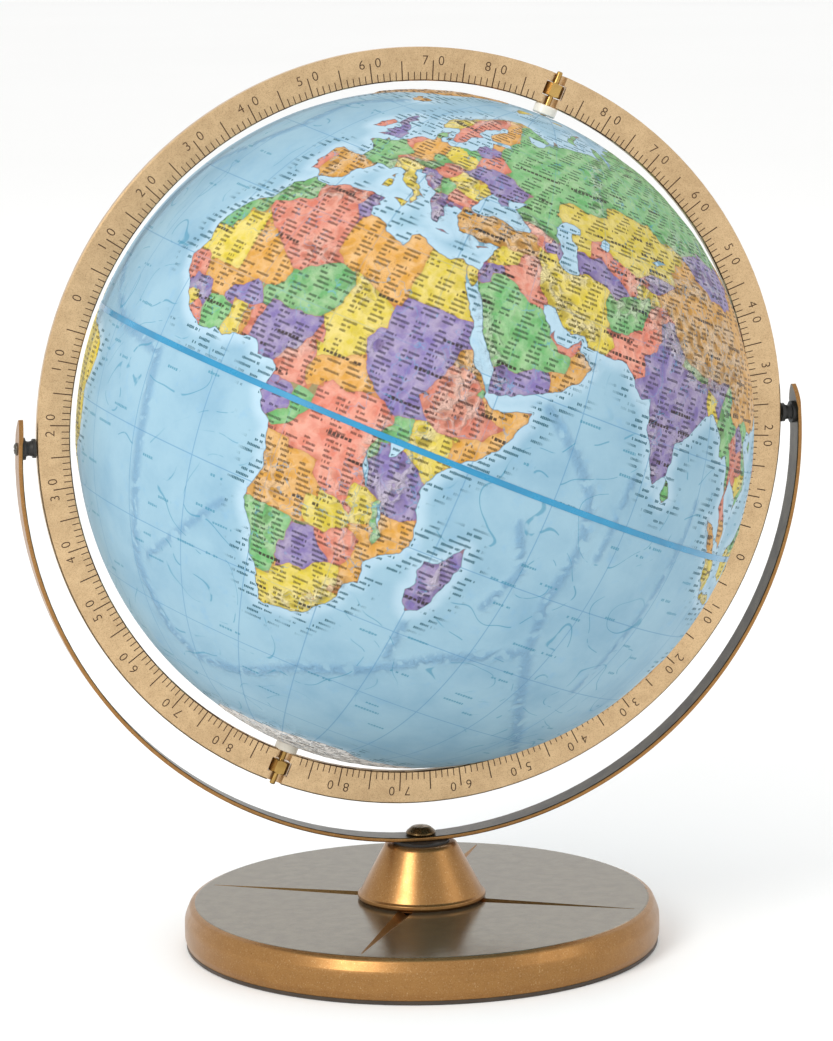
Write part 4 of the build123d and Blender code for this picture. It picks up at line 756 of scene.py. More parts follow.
def finer(points, step):
    """The same line with a point at least every step degrees along the great circle."""
    out = [points[0]]
    for a, b in zip(points[:-1], points[1:]):
        gap = math.degrees(math.acos(max(-1.0, min(1.0, float(a @ b)))))
        for k in range(1, int(math.ceil(gap / step)) + 1):
            p = a + (b - a) * k / math.ceil(gap / step)
            out.append(p / np.linalg.norm(p))
    return np.array(out)


def lengthened(path, extra):
    """The line with both ends drawn a little further, so that it crosses what it runs up to."""
    ends = []
    for a, b in ((path[0], path[1]), (path[-1], path[-2])):
        p = a + (a - b) / np.linalg.norm(a - b) * extra
        ends.append(p / np.linalg.norm(p))
    return np.vstack([ends[:1], path, ends[1:]])


def ragged(points, amount):
    """Small natural bends. They depend only on where a point is, so lines that meet stay together."""
    out = np.empty_like(points)
    for i, p in enumerate(points):
        shift = Vector((0.0, 0.0, 0.0))
        for scale, size in ((24.0, 0.42), (52.0, 0.24), (110.0, 0.13)):
            shift += noise.noise_vector(Vector(p) * scale) * size
        q = p + np.array(shift) * math.radians(amount)
        out[i] = q / np.linalg.norm(q)
    return out


def flatten(points, side):
    """Where directions land on a flat chart of one half, with its pole in the middle."""
    return points[:, :2] / (1 + side * points[:, 2:3])


def unflatten(chart, side):
    square = (chart**2).sum(1)
    low = 2 / (1 + square)
    return np.stack([chart[:, 0] * low, chart[:, 1] * low, side * (1 - square) / (1 + square)], 1)


def hills(points, table, first_meridian):
    """Sum of the raised lines in one table at each point, in mm."""
    total = np.zeros(len(points))
    for text in table:
        for line in text.split(";"):
            values = [float(part) for part in line.split()]
            if len(values) < 4:
                continue
            height, width = values[:2]
            path = to_ball(np.array(values[2:]).reshape(-1, 2), first_meridian)
            near = np.full(len(points), 99.0)
            for a, b in zip(path[:-1], path[1:]) if len(path) > 1 else [(path[0], path[0])]:
                along = b - a
                share = np.clip((points - a) @ along / max(float(along @ along), 1e-9), 0, 1)
                gap = np.linalg.norm(points - (a + share[:, None] * along), axis=1)
                near = np.minimum(near, gap)
            near = np.degrees(near) / width
            total = np.maximum(total, height * np.exp(-0.5 * near**2 * 1.4))
    return total


def find_root(parents, i):
    while parents[i] != i:
        parents[i] = parents[parents[i]]
        i = parents[i]
    return i


def nearest(points, tree, limit):
    out = np.empty(len(points))
    for i, p in enumerate(points):
        out[i] = math.degrees(tree.find(p)[2])
    return np.minimum(out, limit)


def tree_of(points):
    tree = kdtree.KDTree(len(points))
    for i, p in enumerate(points):
        tree.insert(p, i)
    tree.balance()
    return tree


def map_lines(settings):
    """All printed lines, bent to look natural, with True for shore lines."""
    noise.seed_set(LINE_SEED)
    lines = []
    for text in COASTS.values():
        places = numbers(text)
        path = to_ball(np.vstack([places, places[:1]]), settings.first_meridian)
        lines.append((True, ragged(finer(path, settings.line_step), settings.line_wander)))
    for text in BORDERS.values():
        for part in text.split(";"):
            path = to_ball(numbers(part), settings.first_meridian)
            path = lengthened(path, math.radians(settings.overshoot))
            lines.append((False, ragged(finer(path, settings.line_step), settings.line_wander)))
    return lines


def chart_points(side, settings, shore_tree, ranges):
    """A lattice over one half: close where the ground is rough, wider over flat ground and sea."""
    hole = settings.pole_hole * MM / SKIN_RADIUS
    top = 90 - math.degrees(hole) - settings.grid * 0.6
    rows = []
    for row in range(1, int(top / settings.grid) + 1):
        lat = row * settings.grid
        count = max(8, 2 * int(round(180 * math.cos(math.radians(lat)) / settings.grid)))
        lon = (np.arange(count) + 0.5 * (row % 2)) * 360 / count - 180
        keep = (np.arange(count) % 2 == 0) & (row % 2 == 0)
        rows.append(np.stack([lon, np.full(count, lat * side), keep], 1))
    rows = np.vstack(rows)
    points = to_ball(rows[:, :2], 0.0)
    rough = hills(points, ranges, settings.first_meridian)
    shore = nearest(points, shore_tree, 9.0)
    wanted = (rows[:, 2] > 0.5) | (rough > 0.07) | (shore < 1.2)
    return points[wanted & (shore > settings.line_step * 0.6)]


def chart_mesh(side, settings, lines, shore_tree, ranges):
    """One half as a flat chart: its points, its triangles and the kind of line on their edges."""
    points = [flatten(chart_points(side, settings, shore_tree, ranges), side)]
    count = len(points[0])
    edges = []
    kinds = []
    turn = np.arange(settings.rim_points) * 2 * math.pi / settings.rim_points
    hole = math.tan(settings.pole_hole * MM / SKIN_RADIUS / 2)
    few = turn[:: settings.rim_points // 24][:24]
    for radius, angles in ((1.0, turn), (hole, few)):
        points.append(np.stack([np.cos(angles), np.sin(angles)], 1) * radius)
        n = len(angles)
        edges += [(count + i, count + (i + 1) % n) for i in range(n)]
        kinds += [0] * n
        count += n
    for shore, path in lines:
        inside = path[:, 2] * side > -0.03
        flat = flatten(path, side) if inside.any() else None
        start = None
        for i in range(len(path)):
            if not inside[i]:
                start = None
                continue
            points.append(flat[i : i + 1])
            if start is not None:
                edges.append((start, count))
                kinds.append(1 if shore else 2)
            start = count
            count += 1
    flat = np.vstack(points) * 100
    found = geometry.delaunay_2d_cdt([Vector(p) for p in flat.tolist()], edges, [], 0, 1e-5, True)
    flat = np.array([tuple(p) for p in found[0]]) / 100
    faces = np.array([f for f in found[2] if len(f) == 3])
    line_at = {}
    for edge, sources in zip(found[1], found[4]):
        if sources:
            line_at[tuple(sorted(edge))] = sum(1 for s in sources if kinds[s] == 1) % 2
    middle = flat[faces].mean(1)
    radius = np.linalg.norm(middle, axis=1)
    rim = math.cos(math.pi / settings.rim_points)
    faces = faces[(radius < rim) & (radius > hole * math.cos(math.pi / 24) * 0.999)]
    return flat, faces, line_at


def regions(flat, faces, line_at):
    """Numbers each patch between lines, and says which pairs of patches meet over a shore."""
    owners = {}
    parents = list(range(len(faces)))
    meets = []
    for f, corners in enumerate(faces.tolist()):
        for k in range(3):
            key = (corners[k], corners[(k + 1) % 3])
            key = key if key[0] < key[1] else (key[1], key[0])
            other = owners.get(key)
            if other is None:
                owners[key] = f
            elif key in line_at:
                meets.append((other, f, line_at[key], key))
            else:
                a = find_root(parents, other)
                b = find_root(parents, f)
                parents[a] = b
    roots = np.array([find_root(parents, f) for f in range(len(faces))])
    return roots, [(roots[a], roots[b], flip, key) for a, b, flip, key in meets]


def face_at(flat, faces, place):
    """The triangle over one spot of the chart."""
    corners = flat[faces]
    signs = []
    for k in range(3):
        a = corners[:, k]
        b = corners[:, (k + 1) % 3]
        signs.append((b[:, 0] - a[:, 0]) * (place[1] - a[:, 1]) - (b[:, 1] - a[:, 1]) * (place[0] - a[:, 0]))
    signs = np.array(signs)
    hit = np.nonzero((signs >= -1e-12).all(0) | (signs <= 1e-12).all(0))[0]
    return int(hit[0]) if len(hit) else -1


def spread_land(roots, meets, sea_root):
    """Land or water for each patch: every shore line crossed changes one to the other."""
    links = {}
    for a, b, flip, _ in meets:
        if a != b:
            links.setdefault(a, []).append((b, flip))
            links.setdefault(b, []).append((a, flip))
    land = {sea_root: 0}
    queue = [sea_root]
    while queue:
        a = queue.pop()
        for b, flip in links.get(a, []):
            if b not in land:
                land[b] = land[a] ^ flip
                queue.append(b)
    return land


def ink_colours(side, settings, flat, faces, roots, land):
    """The printed colour of each triangle: alpha is 1 on land."""
    inks = {name: np.array(srgb(getattr(settings, "ink_" + name))) for name in TINTS}
    chosen = {}
    seeds = []
    for name, text in TINTS.items():
        for place in numbers(text):
            spot = to_ball(place[None], settings.first_meridian)
            seeds.append((spot[0], name))
            if spot[0, 2] * side < -0.02:
                continue
            face = face_at(flat, faces, flatten(spot, side)[0])
            if face >= 0 and land.get(roots[face]):
                chosen.setdefault(roots[face], []).append((spot[0], name))
    tree = tree_of([s[0] for s in seeds])
    middle = unflatten(flat[faces].mean(1), side)
    water = np.array(srgb(settings.sea))
    out = np.zeros((len(faces), 4))
    for root in np.unique(roots):
        here = roots == root
        if not land.get(root):
            out[here, :3] = water
            continue
        centre = middle[here].mean(0)
        own = chosen.get(root) or [seeds[tree.find(centre)[1]]]
        closest = (middle[here] @ np.array([spot for spot, _ in own]).T).argmax(1)
        colour = np.array([inks[name] for _, name in own])[closest]
        shade = 1 + 0.16 * noise.noise(Vector(centre) * 9.0 + Vector((side, 0, 0)))
        out[here, :3] = np.clip(colour * shade, 0, 1)
        out[here, 3] = 1
    return out


def ground(points, land_here, shore, settings):
    """Height of the paper at each point, in mm, with how rough the ground is."""
    land_tables = [text for name, text in RANGES.items() if name != "seabed"]
    rough = hills(points, land_tables, settings.first_meridian)
    bed = hills(points, [RANGES["seabed"]], settings.first_meridian)
    grain = np.empty(len(points))
    fine = np.empty(len(points))
    for i, p in enumerate(points.tolist()):
        grain[i] = noise.ridged_multi_fractal(Vector(p) * 21.0, 0.9, 2.1, 4, 1.0, 2.0)
        fine[i] = noise.noise(Vector(p) * 70.0)
    grain = np.clip(grain / 2.4, 0, 1)
    rise = np.clip(shore / 1.1, 0, 1)
    rise = rise * rise * (3 - 2 * rise)
    hill = rough * (0.15 + 0.95 * grain) + 0.05 * fine * rise
    height = np.where(land_here, 0.04 + rise * (0.16 + hill), -0.02 + bed * (0.4 + 0.8 * grain) * rise)
    edge = np.clip((np.degrees(np.arcsin(np.clip(np.abs(points[:, 2]), 0, 1))) - 0.5) / 1.2, 0, 1)
    return height * edge * settings.relief - 0.05 * (1 - edge), rough, bed


def build_half(side, settings, lines, name, node):
    """One printed half of the ball, as a thin closed shell."""
    shore_tree = tree_of(np.vstack([path for shore, path in lines if shore]))
    ranges = list(RANGES.values())
    flat, faces, line_at = chart_mesh(side, settings, lines, shore_tree, ranges)
    roots, meets = regions(flat, faces, line_at)
    sea = to_ball(np.array([[-35.0, 35.0 * side]]), settings.first_meridian)
    sea_face = face_at(flat, faces, flatten(sea, side)[0])
    if sea_face < 0:
        raise RuntimeError("the chart of " + name + " has no open sea at its starting point")
    land = spread_land(roots, meets, roots[sea_face])
    colours = ink_colours(side, settings, flat, faces, roots, land)
    used = np.unique(faces)
    fresh = np.full(len(flat), -1)
    fresh[used] = np.arange(len(used))
    faces = fresh[faces]
    points = unflatten(flat[used], side)
    land_here = np.zeros(len(points), bool)
    for k in range(3):
        land_here[faces[:, k]] |= colours[:, 3] > 0.5
    shore = nearest(points, shore_tree, 12.0)
    real = np.array([key for a, b, _, key in meets if a != b and land.get(a) + land.get(b) > 0])
    ends = unflatten(flat[real.ravel()], side).reshape(-1, 2, 3)
    border = nearest(points, tree_of(np.vstack([ends[:, 0], ends.mean(1), ends[:, 1]])), 3.0)
    height, rough, bed = ground(points, land_here, shore, settings)
    outer = points * (SKIN_RADIUS + height * MM)[:, None]
    inner = points * (SKIN_RADIUS - settings.paper * MM)
    co = np.vstack([outer, inner]) @ TURN + CENTRE
    if side < 0:
        faces = faces[:, ::-1]
    n = len(points)
    ends = {}
    for a, b, c in faces.tolist():
        for edge in ((a, b), (b, c), (c, a)):
            ends[edge] = True
    walls = [(b, a, a + n, b + n) for a, b in ends if (b, a) not in ends]
    mesh = bpy.data.meshes.new(name)
    all_faces = faces.tolist() + (faces[:, ::-1] + n).tolist() + walls
    mesh.from_pydata(co.tolist(), [], all_faces)
    flat_colour = np.ones((len(mesh.loops), 4), np.float32)
    flat_colour[:, :3] = 0.75
    flat_colour[: len(faces) * 3] = np.repeat(colours, 3, 0)
    layer = mesh.attributes.new("ink", "FLOAT_COLOR", "CORNER")
    layer.data.foreach_set("color", flat_colour.ravel())
    for key, values in (("shore", shore), ("border", border), ("rough", rough), ("bed", bed)):
        layer = mesh.attributes.new(key, "FLOAT", "POINT")
        layer.data.foreach_set("value", np.tile(values, 2).astype(np.float32))
    mesh.shade_smooth()
    mesh.set_sharp_from_angle(angle=math.radians(50))
    mesh.validate()
    made = new_object(name, mesh)
    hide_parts(node)
    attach(made, "globe")
    return made


def label_rows(paint, lon, lat, spacing, height, cell, share, letter, shift):
    """Rows of small dashes along the parallels, where place names would be printed."""
    rows = lat / spacing + shift
    row = rows.math("FLOOR")
    along = lon * (row * (spacing * math.pi / 180)).math("COSINE") + row * 3.7
    column = (along / cell).math("FLOOR")
    first = paint.chance(row + shift * 7, column)
    second = paint.chance(column + 31.5, row)
    inside = (along / cell).math("FRACT") < second * 0.5 + 0.3
    letters = (along / letter).math("FLOOR")
    tall = paint.chance(letters, row + 5.5)
    gaps = ((along / letter).math("FRACT") > 0.2) * (tall > 0.1)
    level = (rows.math("FRACT") - 0.5).math("ABSOLUTE")
    body = level < height / spacing * (0.3 + 0.2 * tall)
    return (first < share) * inside * gaps * body


def map_paint(settings):
    """Ink on paper: country tints, sea, names, grid and currents over a fine moulded grain, with painted shade
    in the valleys and painted highlight on the crests of the moulded folds.
    """
    paint = Paint("printed_relief_map")
    place = paint.place()
    local = paint.vector("SUBTRACT", place, tuple(CENTRE))
    x = paint.vector("DOT_PRODUCT", local, tuple(TURN[0]), "Value")
    y = paint.vector("DOT_PRODUCT", local, tuple(TURN[1]), "Value")
    z = paint.vector("DOT_PRODUCT", local, tuple(TURN[2]), "Value")
    reach = paint.vector("LENGTH", local, (0, 0, 0), "Value")
    lat = (z / reach).math("ARCSINE") * (180 / math.pi)
    lon = x.math("ARCTAN2", -y) * (180 / math.pi) + settings.first_meridian
    narrow = (lat * (math.pi / 180)).math("COSINE")
    ink = paint.attribute("ink", "Color")
    land = paint.attribute("ink", "Alpha") > 0.5
    sea = 1.0 - land
    shore = paint.attribute("shore")
    border = paint.attribute("border")
    rough = paint.attribute("rough")
    bed = paint.attribute("bed")
    cloud = paint.noise(place, 34.0, 5.0, 0.6)
    speck = paint.noise(place, 900.0, 3.0, 0.6)
    blotch = paint.noise(place, 120.0, 4.0, 0.65)
    folds = paint.ridges(place, 190.0, 5.0)
    # the sea
    deep = paint.mix(srgb(settings.sea), srgb(settings.sea_deep), (cloud * 1.6 - 0.45).span(0.0, 1.0))
    deep = paint.mix(deep, srgb(settings.sea_shelf), shore.span(0.3, 2.6, 0.6, 0.0))
    deep = paint.mix(deep, srgb(settings.sea_ridge), (bed * 5.0).span(0.2, 1.0) * folds.span(0.3, 0.6) * 0.6)
    deep = paint.mix(deep, srgb("6f9fc4"), blotch.span(0.55, 0.75) * 0.28)
    # the land
    soil = paint.mix(ink, paint.mix(ink, srgb("fff4dc"), 0.34), blotch.span(0.35, 0.7) * 0.45)
    soil = paint.mix(soil, paint.mix(ink, srgb("5a3a20"), 0.45), border.span(0.05, 0.75, 0.34, 0.0))
    steep = rough.span(0.05, 0.7)
    soil = paint.mix(soil, srgb("fdf0d8"), rough.span(0.45, 1.3) * 0.2)
    # painted shade: land darkens in the valleys of the moulded folds
    soil = paint.mix(soil, paint.mix(ink, srgb("4a2f1c"), 0.55), folds.span(0.5, 0.22) * (0.22 + 0.6 * steep))
    # painted highlight: land lightens on the crests of the moulded folds
    soil = paint.mix(soil, paint.mix(ink, srgb("fffaf0"), 0.6), folds.span(0.6, 0.88) * (0.1 + 0.3 * steep))
    colour = paint.mix(deep, soil, land)
    # lines
    grid_x = ((lon / 15.0 + 0.5).math("FRACT") - 0.5).math("ABSOLUTE") * 15.0 * narrow
    grid_y = ((lat / 15.0 + 0.5).math("FRACT") - 0.5).math("ABSOLUTE") * 15.0
    grid = (grid_x.math("MINIMUM", grid_y)).span(0.05, 0.13, 1.0, 0.0)
    colour = paint.mix(colour, srgb("4f84a8"), grid * (sea * 0.4 + 0.25))
    coast = shore.span(0.02, 0.13, 1.0, 0.0)
    colour = paint.mix(colour, srgb("2f6f86"), coast * 0.62)
    edge = border.span(0.01, 0.07, 1.0, 0.0) * land
    colour = paint.mix(colour, srgb("9a4a35"), edge * 0.5)
    swirl = paint.noise(place, 16.0, 2.0, 0.4)
    stream = ((swirl * 11.0).math("FRACT") - 0.5).math("ABSOLUTE").span(0.012, 0.03, 1.0, 0.0)
    patch = paint.noise(place, 9.0, 1.0).span(0.4, 0.46)
    dashes = (paint.noise(place, 140.0, 1.0)).span(0.44, 0.5)
    colour = paint.mix(colour, srgb("2d7f9c"), stream * patch * sea * dashes * shore.span(2.0, 3.5) * 0.6)
    # names
    print_dark = paint.mix(ink, srgb("1a1512"), 0.8)
    names = label_rows(paint, lon, lat, 0.84, 0.5, 3.6, 0.84, 0.26, 0.13) * land
    colour = paint.mix(colour, print_dark, names * 0.95)
    towns = label_rows(paint, lon, lat, 2.9, 0.62, 9.0, 0.3, 0.7, 0.41) * land
    colour = paint.mix(colour, srgb("2a1e18"), towns * 0.9)
    coastal = label_rows(paint, lon, lat, 1.02, 0.52, 4.8, 0.94, 0.3, 0.71)
    crowd = paint.noise(place, 38.0, 1.0).span(0.4, 0.48)
    coastal = coastal * sea * shore.span(2.6, 5.2, 1.0, 0.0) * crowd * (shore > 0.22)
    colour = paint.mix(colour, srgb("17505e"), coastal * 0.95)
    open_sea = label_rows(paint, lon, lat, 1.9, 0.5, 6.0, 0.12, 0.5, 0.29) * sea * (shore > 3.0)
    colour = paint.mix(colour, srgb("2f7c95"), open_sea * 0.7)
    rivers = paint.noise(place, 62.0, 3.0, 0.55)
    river = ((rivers * 5.0).math("FRACT") - 0.5).math("ABSOLUTE").span(0.01, 0.032, 1.0, 0.0)
    river = river * land * paint.noise(place, 24.0, 1.0).span(0.46, 0.52)
    colour = paint.mix(colour, srgb("4f93b8"), river * 0.5)
    # wear
    scuff = paint.noise(paint.vector("MULTIPLY", place, (1.0, 1.0, 3.0)), 260.0, 4.0, 0.7).span(0.66, 0.8)
    colour = paint.mix(colour, srgb("f4efe4"), scuff * 0.16)
    shine = 0.42 + 0.16 * blotch + 0.1 * speck + 0.1 * scuff
    relief = paint.bump(folds * (rough + 0.2 * land + bed), 0.002, 1.0)
    relief = paint.bump(blotch * (0.3 + land), 0.0004, 0.6, relief)
    relief = paint.bump(speck, 0.00004, 0.5, relief)
    return paint.done({"Base Color": colour, "Roughness": shine, "Normal": relief, "Specular IOR Level": 0.35})


# Finishes for the made parts


def plain_finish(name, light, dark, metallic, rough, grain, depth, coat=0.0, wear=None, lamp=0.5):
    """A finish with uneven colour, a fine grain and rubbed spots."""
    paint = Paint(name)
    place = paint.place()
    wide = paint.noise(place, 14.0, 3.0, 0.55)
    middle = paint.noise(place, 110.0, 4.0, 0.6)
    fine = paint.noise(place, grain, 4.0, 0.65)
    colour = paint.mix(light, dark, (wide * 0.55 + middle * 0.45).span(0.36, 0.66) * 0.75)
    colour = paint.mix(colour, dark, fine.span(0.55, 0.8) * 0.35)
    rubbed = paint.noise(place, 55.0, 6.0, 0.75).span(0.62, 0.72)
    if wear:
        colour = paint.mix(colour, wear, rubbed * 0.3)
    shine = rough + 0.16 * (middle - 0.5) + 0.14 * (fine - 0.5) + 0.08 * rubbed
    normal = paint.bump(fine, depth, 0.6)
    normal = paint.bump(wide, depth * 6, 0.3, normal)
    inputs = {"Base Color": colour, "Metallic": metallic, "Roughness": shine, "Normal": normal}
    inputs["Specular IOR Level"] = lamp
    inputs["Coat Weight"] = coat
    return paint.done(inputs)


def bronze_finish(name, settings, inner=False, top=False, pale=False):
    """Metallic paint with a hammered grain. With inner, painted shade and reflection darken the face towards
    the ball.
    With top, a painted reflection of the pale surroundings turns the level faces a duller grey bronze."""
    paint = Paint(name)
    place = paint.place()
    wide = paint.noise(place, 11.0, 3.0, 0.55)
    middle = paint.noise(place, 150.0, 4.0, 0.6)
    fine = paint.noise(place, 1300.0, 3.0, 0.7)
    flake = paint.node("ShaderNodeTexVoronoi", None, {"Vector": place, "Scale": 3200.0}, "Color")
    spark = paint.split(flake)[0]
    light = tuple(settings.ring_bronze if pale else settings.bronze)
    dark = tuple(settings.bronze_dark)
    colour = paint.mix(light, dark, (wide * 0.5 + middle * 0.5).span(0.38, 0.64) * 0.22)
    colour = paint.mix(colour, dark, spark.span(0.55, 1.0) * 0.3)
    colour = paint.mix(colour, srgb("f6dcae"), fine.span(0.55, 0.75) * 0.25)
    rubbed = paint.noise(place, 70.0, 6.0, 0.75).span(0.64, 0.74)
    colour = paint.mix(colour, srgb("b98a57"), rubbed * 0.15)
    metallic = 0.82 + 0.12 * spark
    shine = settings.bronze_rough + 0.14 * (middle - 0.5) + 0.12 * (fine - 0.5) + 0.07 * rubbed
    if inner:
        normal = paint.node("ShaderNodeTexCoord", output="Normal")
        way = paint.vector("SUBTRACT", tuple(CENTRE), place)
        way = paint.vector("NORMALIZE", way, (0, 0, 0))
        shade_towards_ball = paint.vector("DOT_PRODUCT", normal, way, "Value").span(0.55, 0.75)
        shade_towards_ball = shade_towards_ball * (paint.vector("LENGTH", paint.vector("SUBTRACT", place, tuple(CENTRE)), (0, 0, 0), "Value") > 0.15)
        # painted shade and reflection: the face towards the ball is darkened to a grey olive and made less
        # metallic
        painted_shade_reflection = paint.mix(srgb("3d3a2c"), srgb("24241e"), middle.span(0.35, 0.65))
        colour = paint.mix(colour, painted_shade_reflection, shade_towards_ball * 0.94)
        metallic = metallic - shade_towards_ball * 0.3
    if top:
        normal = paint.split(paint.node("ShaderNodeTexCoord", output="Normal"))[2]
        level = normal.span(0.93, 0.985)
        # painted reflection: level faces get a duller grey in place of the pale sky mirrored in the glossy top
        dull = paint.mix(srgb("746d5a"), srgb("675f4f"), middle.span(0.3, 0.7))
        dull = paint.mix(dull, srgb("948a73"), fine.span(0.55, 0.75) * 0.25)
        colour = paint.mix(colour, dull, level * 0.95)
        metallic = metallic - level * 0.2
        shine = shine - level * 0.17
    bump = paint.bump(fine, 0.00005, 0.55)
    bump = paint.bump(middle, 0.00012, 0.35, bump)
    inputs = {"Base Color": colour, "Metallic": metallic, "Roughness": shine, "Normal": bump}
    return paint.done(inputs)


# The stamped ring


def tick_prism(verts, faces, angle, low, high, width, side):
    """A straight mark as a small block that sinks into one face of the ring."""
    out = Vector((math.cos(angle), 0, math.sin(angle)))
    across = Vector((-math.sin(angle), 0, math.cos(angle)))
    top = RING_FACE + 0.0004
    base = len(verts)
    for level in (MEMORY["floor"], top):
        for radius, sideways in ((low, -1), (high, -1), (high, 1), (low, 1)):
            p = out * radius + across * (sideways * width / 2)
            verts.append((p.x, level * side, p.z))
    block = [(0, 1, 2, 3), (7, 6, 5, 4), (0, 4, 5, 1), (1, 5, 6, 2), (2, 6, 7, 3), (3, 7, 4, 0)]
    for face in block:
        faces.append(tuple(base + i for i in face[::side]))


def digit_outline(text, height):
    """The flat shape of one number, centred, as vertices and triangles."""
    curve = bpy.data.curves.new("digit_" + text, "FONT")
    curve.body = text
    curve.size = height / 0.71
    curve.offset = -0.00004
    curve.align_x = "CENTER"
    curve.resolution_u = 4
    made = new_object("digit_" + text, curve)
    bpy.context.view_layer.update()
    mesh = bpy.data.meshes.new_from_object(made.evaluated_get(bpy.context.evaluated_depsgraph_get()))
    bpy.data.objects.remove(made)
    bm = bmesh.new()
    bm.from_mesh(mesh)
    bmesh.ops.remove_doubles(bm, verts=bm.verts, dist=2e-5)
    bmesh.ops.triangulate(bm, faces=bm.faces)
    bm.verts.index_update()
    verts = [v.co.copy() for v in bm.verts]
    faces = []
    for face in bm.faces:
        a, b, c = [v.index for v in face.verts]
        turn = (verts[b] - verts[a]).cross(verts[c] - verts[a]).z
        if abs(turn) > 1e-13:
            faces.append((a, b, c) if turn > 0 else (a, c, b))
    bm.free()
    middle = (max(v.y for v in verts) + min(v.y for v in verts)) / 2
    verts = [Vector((v.x, v.y - middle)) for v in verts]
    return verts, faces


def digit_prism(verts, faces, shape, angle, radius, side):
    """A number as a solid that sinks into one face of the ring, its top towards the rim."""
    flat, triangles = shape
    out = Vector((math.cos(angle), 0, math.sin(angle)))
    across = Vector((math.sin(angle), 0, -math.cos(angle))) * -side
    base = len(verts)
    n = len(flat)
    for level in (MEMORY["floor"], RING_FACE + 0.0004):
        for v in flat:
            p = out * (radius + v.y) + across * v.x
            verts.append((p.x, level * side, p.z))
    ends = {}
    for tri in triangles:
        for edge in zip(tri, tri[1:] + tri[:1]):
            ends[edge] = True
        faces.append(tuple(base + i for i in reversed(tri)))
        faces.append(tuple(base + n + i for i in tri))
    for a, b in ends:
        if (b, a) not in ends:
            faces.append((base + a, base + b, base + n + b, base + n + a))


def scale_cutter(settings):
    """Every mark of the degree scale on both faces, as one mesh of separate blocks."""
    MEMORY["floor"] = RING_FACE - settings.stamp_depth * MM
    lean = math.atan2(POLE[2], POLE[0]) - math.pi / 2
    shapes = {str(k): digit_outline(str(k), settings.digit_height * MM) for k in range(9)}
    verts = []
    faces = []
    middle = RING_INNER + settings.digit_centre * MM
    for side in (-1, 1):
        for degree in range(360):
            from_pole = min(abs(degree % 180 - 90), 90)
            if from_pole < 3:
                continue
            value = 90 - from_pole
            angle = math.radians(degree) + lean
            length = settings.tick_long if value % 10 == 0 else settings.tick_five
            length = length if value % 5 == 0 else settings.tick_short
            if value == 0:
                length = settings.tick_short
            low = RING_INNER + 0.25 * MM
            width = settings.tick_width * (1.25 if value % 5 == 0 else 1.0)
            tick_prism(verts, faces, angle, low, low + length * MM, width * MM, side)
            if value % 10 == 0:
                word = str(value)
                step = settings.digit_gap * MM / middle * side
                spots = [0.0] if len(word) == 1 else [-step, step]
                for letter, spot in zip(word, spots):
                    digit_prism(verts, faces, shapes[letter], angle + spot, middle, side)
    mesh = bpy.data.meshes.new("scale_cutter")
    mesh.from_pydata(verts, [], faces)
    made = new_object("scale_cutter", mesh)
    made.location = Vector(CENTRE)
    return made


def stamped_ring(settings):
    """The CAD ring with its degree scale stamped into both faces."""
    mesh = frame["nodes"]["meridian_ring"].data.copy()
    mesh.name = "stamped_ring"
    if "custom_normal" in mesh.attributes:
        mesh.attributes.remove(mesh.attributes["custom_normal"])
    bm = bmesh.new()
    bm.from_mesh(mesh)
    bmesh.ops.remove_doubles(bm, verts=bm.verts, dist=1e-6)
    bm.to_mesh(mesh)
    bm.free()
    ring = new_object("stamped_ring", mesh)
    cutter = scale_cutter(settings)
    cut = ring.modifiers.new("scale", "BOOLEAN")
    cut.operation = "DIFFERENCE"
    cut.solver = "MANIFOLD"
    cut.object = cutter
    bpy.context.view_layer.update()
    before = len(mesh.polygons)
    mesh = bpy.data.meshes.new_from_object(ring.evaluated_get(bpy.context.evaluated_depsgraph_get()))
    if len(mesh.polygons) < before + 2000:
        raise RuntimeError("the degree scale did not cut into the meridian ring")
    ring.modifiers.clear()
    ring.data = mesh
    bpy.data.objects.remove(cutter)
    return ring


def fill_paint(settings):
    """Painted shade inside the stamped marks: a dark colour on their floors and walls."""
    return plain_finish("stamped_mark_painted_shade", settings.scale_fill, srgb("3a2412"), 0.2, 0.6, 1400.0, 0.00002)


# Settings shown in the sidebar


def colour_property(name, about, chip):
    return bpy.props.FloatVectorProperty(
        name=name, description=about, subtype="COLOR", size=3, min=0, max=1, default=srgb(chip)
    )


def number_property(name, about, default, low=0.0, high=1000.0):
    return bpy.props.FloatProperty(name=name, description=about, default=default, min=low, max=high)


def chip_property(name, about, chip):
    return bpy.props.StringProperty(name=name, description=about, default=chip)


class MapSettings(bpy.types.PropertyGroup):
    first_meridian: number_property("Meridian in front", "Longitude that faces front, in degrees", 50.0, -180)
    line_step: number_property("Line step", "Distance between points on printed lines, in degrees", 0.36)
    overshoot: number_property("Overshoot", "How far borders run past their ends, in degrees", 1.0)
    line_wander: number_property("Line wander", "Natural bending of printed lines, in degrees", 1.0)
    grid: number_property("Grid", "Spacing of the relief mesh, in degrees", 0.62, 0.3)
    rim_points: bpy.props.IntProperty(name="Rim points", description="Points around the equator", default=720)
    pole_hole: number_property("Pole hole", "Radius of the hole for the pole bush, in mm", 3.0)
    relief: number_property("Relief", "How far the mountains stand out, as a multiple", 1.0)
    paper: number_property("Paper", "Thickness of the printed shell, in mm", 0.42)
    sea: chip_property("Sea", "Ink of the open sea", "8dafc0")
    sea_deep: chip_property("Deep sea", "Darker patches of sea", "7199b1")
    sea_shelf: chip_property("Shelf", "Sea beside the shore", "b1c9d7")
    sea_ridge: chip_property("Sea ridges", "Printed ridges on the sea bed", "5f88a8")
    ink_red: chip_property("Red ink", "Countries printed red", "c26e5a")
    ink_orange: chip_property("Orange ink", "Countries printed orange", "bf8a30")
    ink_yellow: chip_property("Yellow ink", "Countries printed yellow", "c3b032")
    ink_green: chip_property("Green ink", "Countries printed green", "5c9e5e")
    ink_purple: chip_property("Purple ink", "Countries printed purple", "70629a")
    ink_ice: chip_property("Ice", "Land under ice", "e6e4e2")


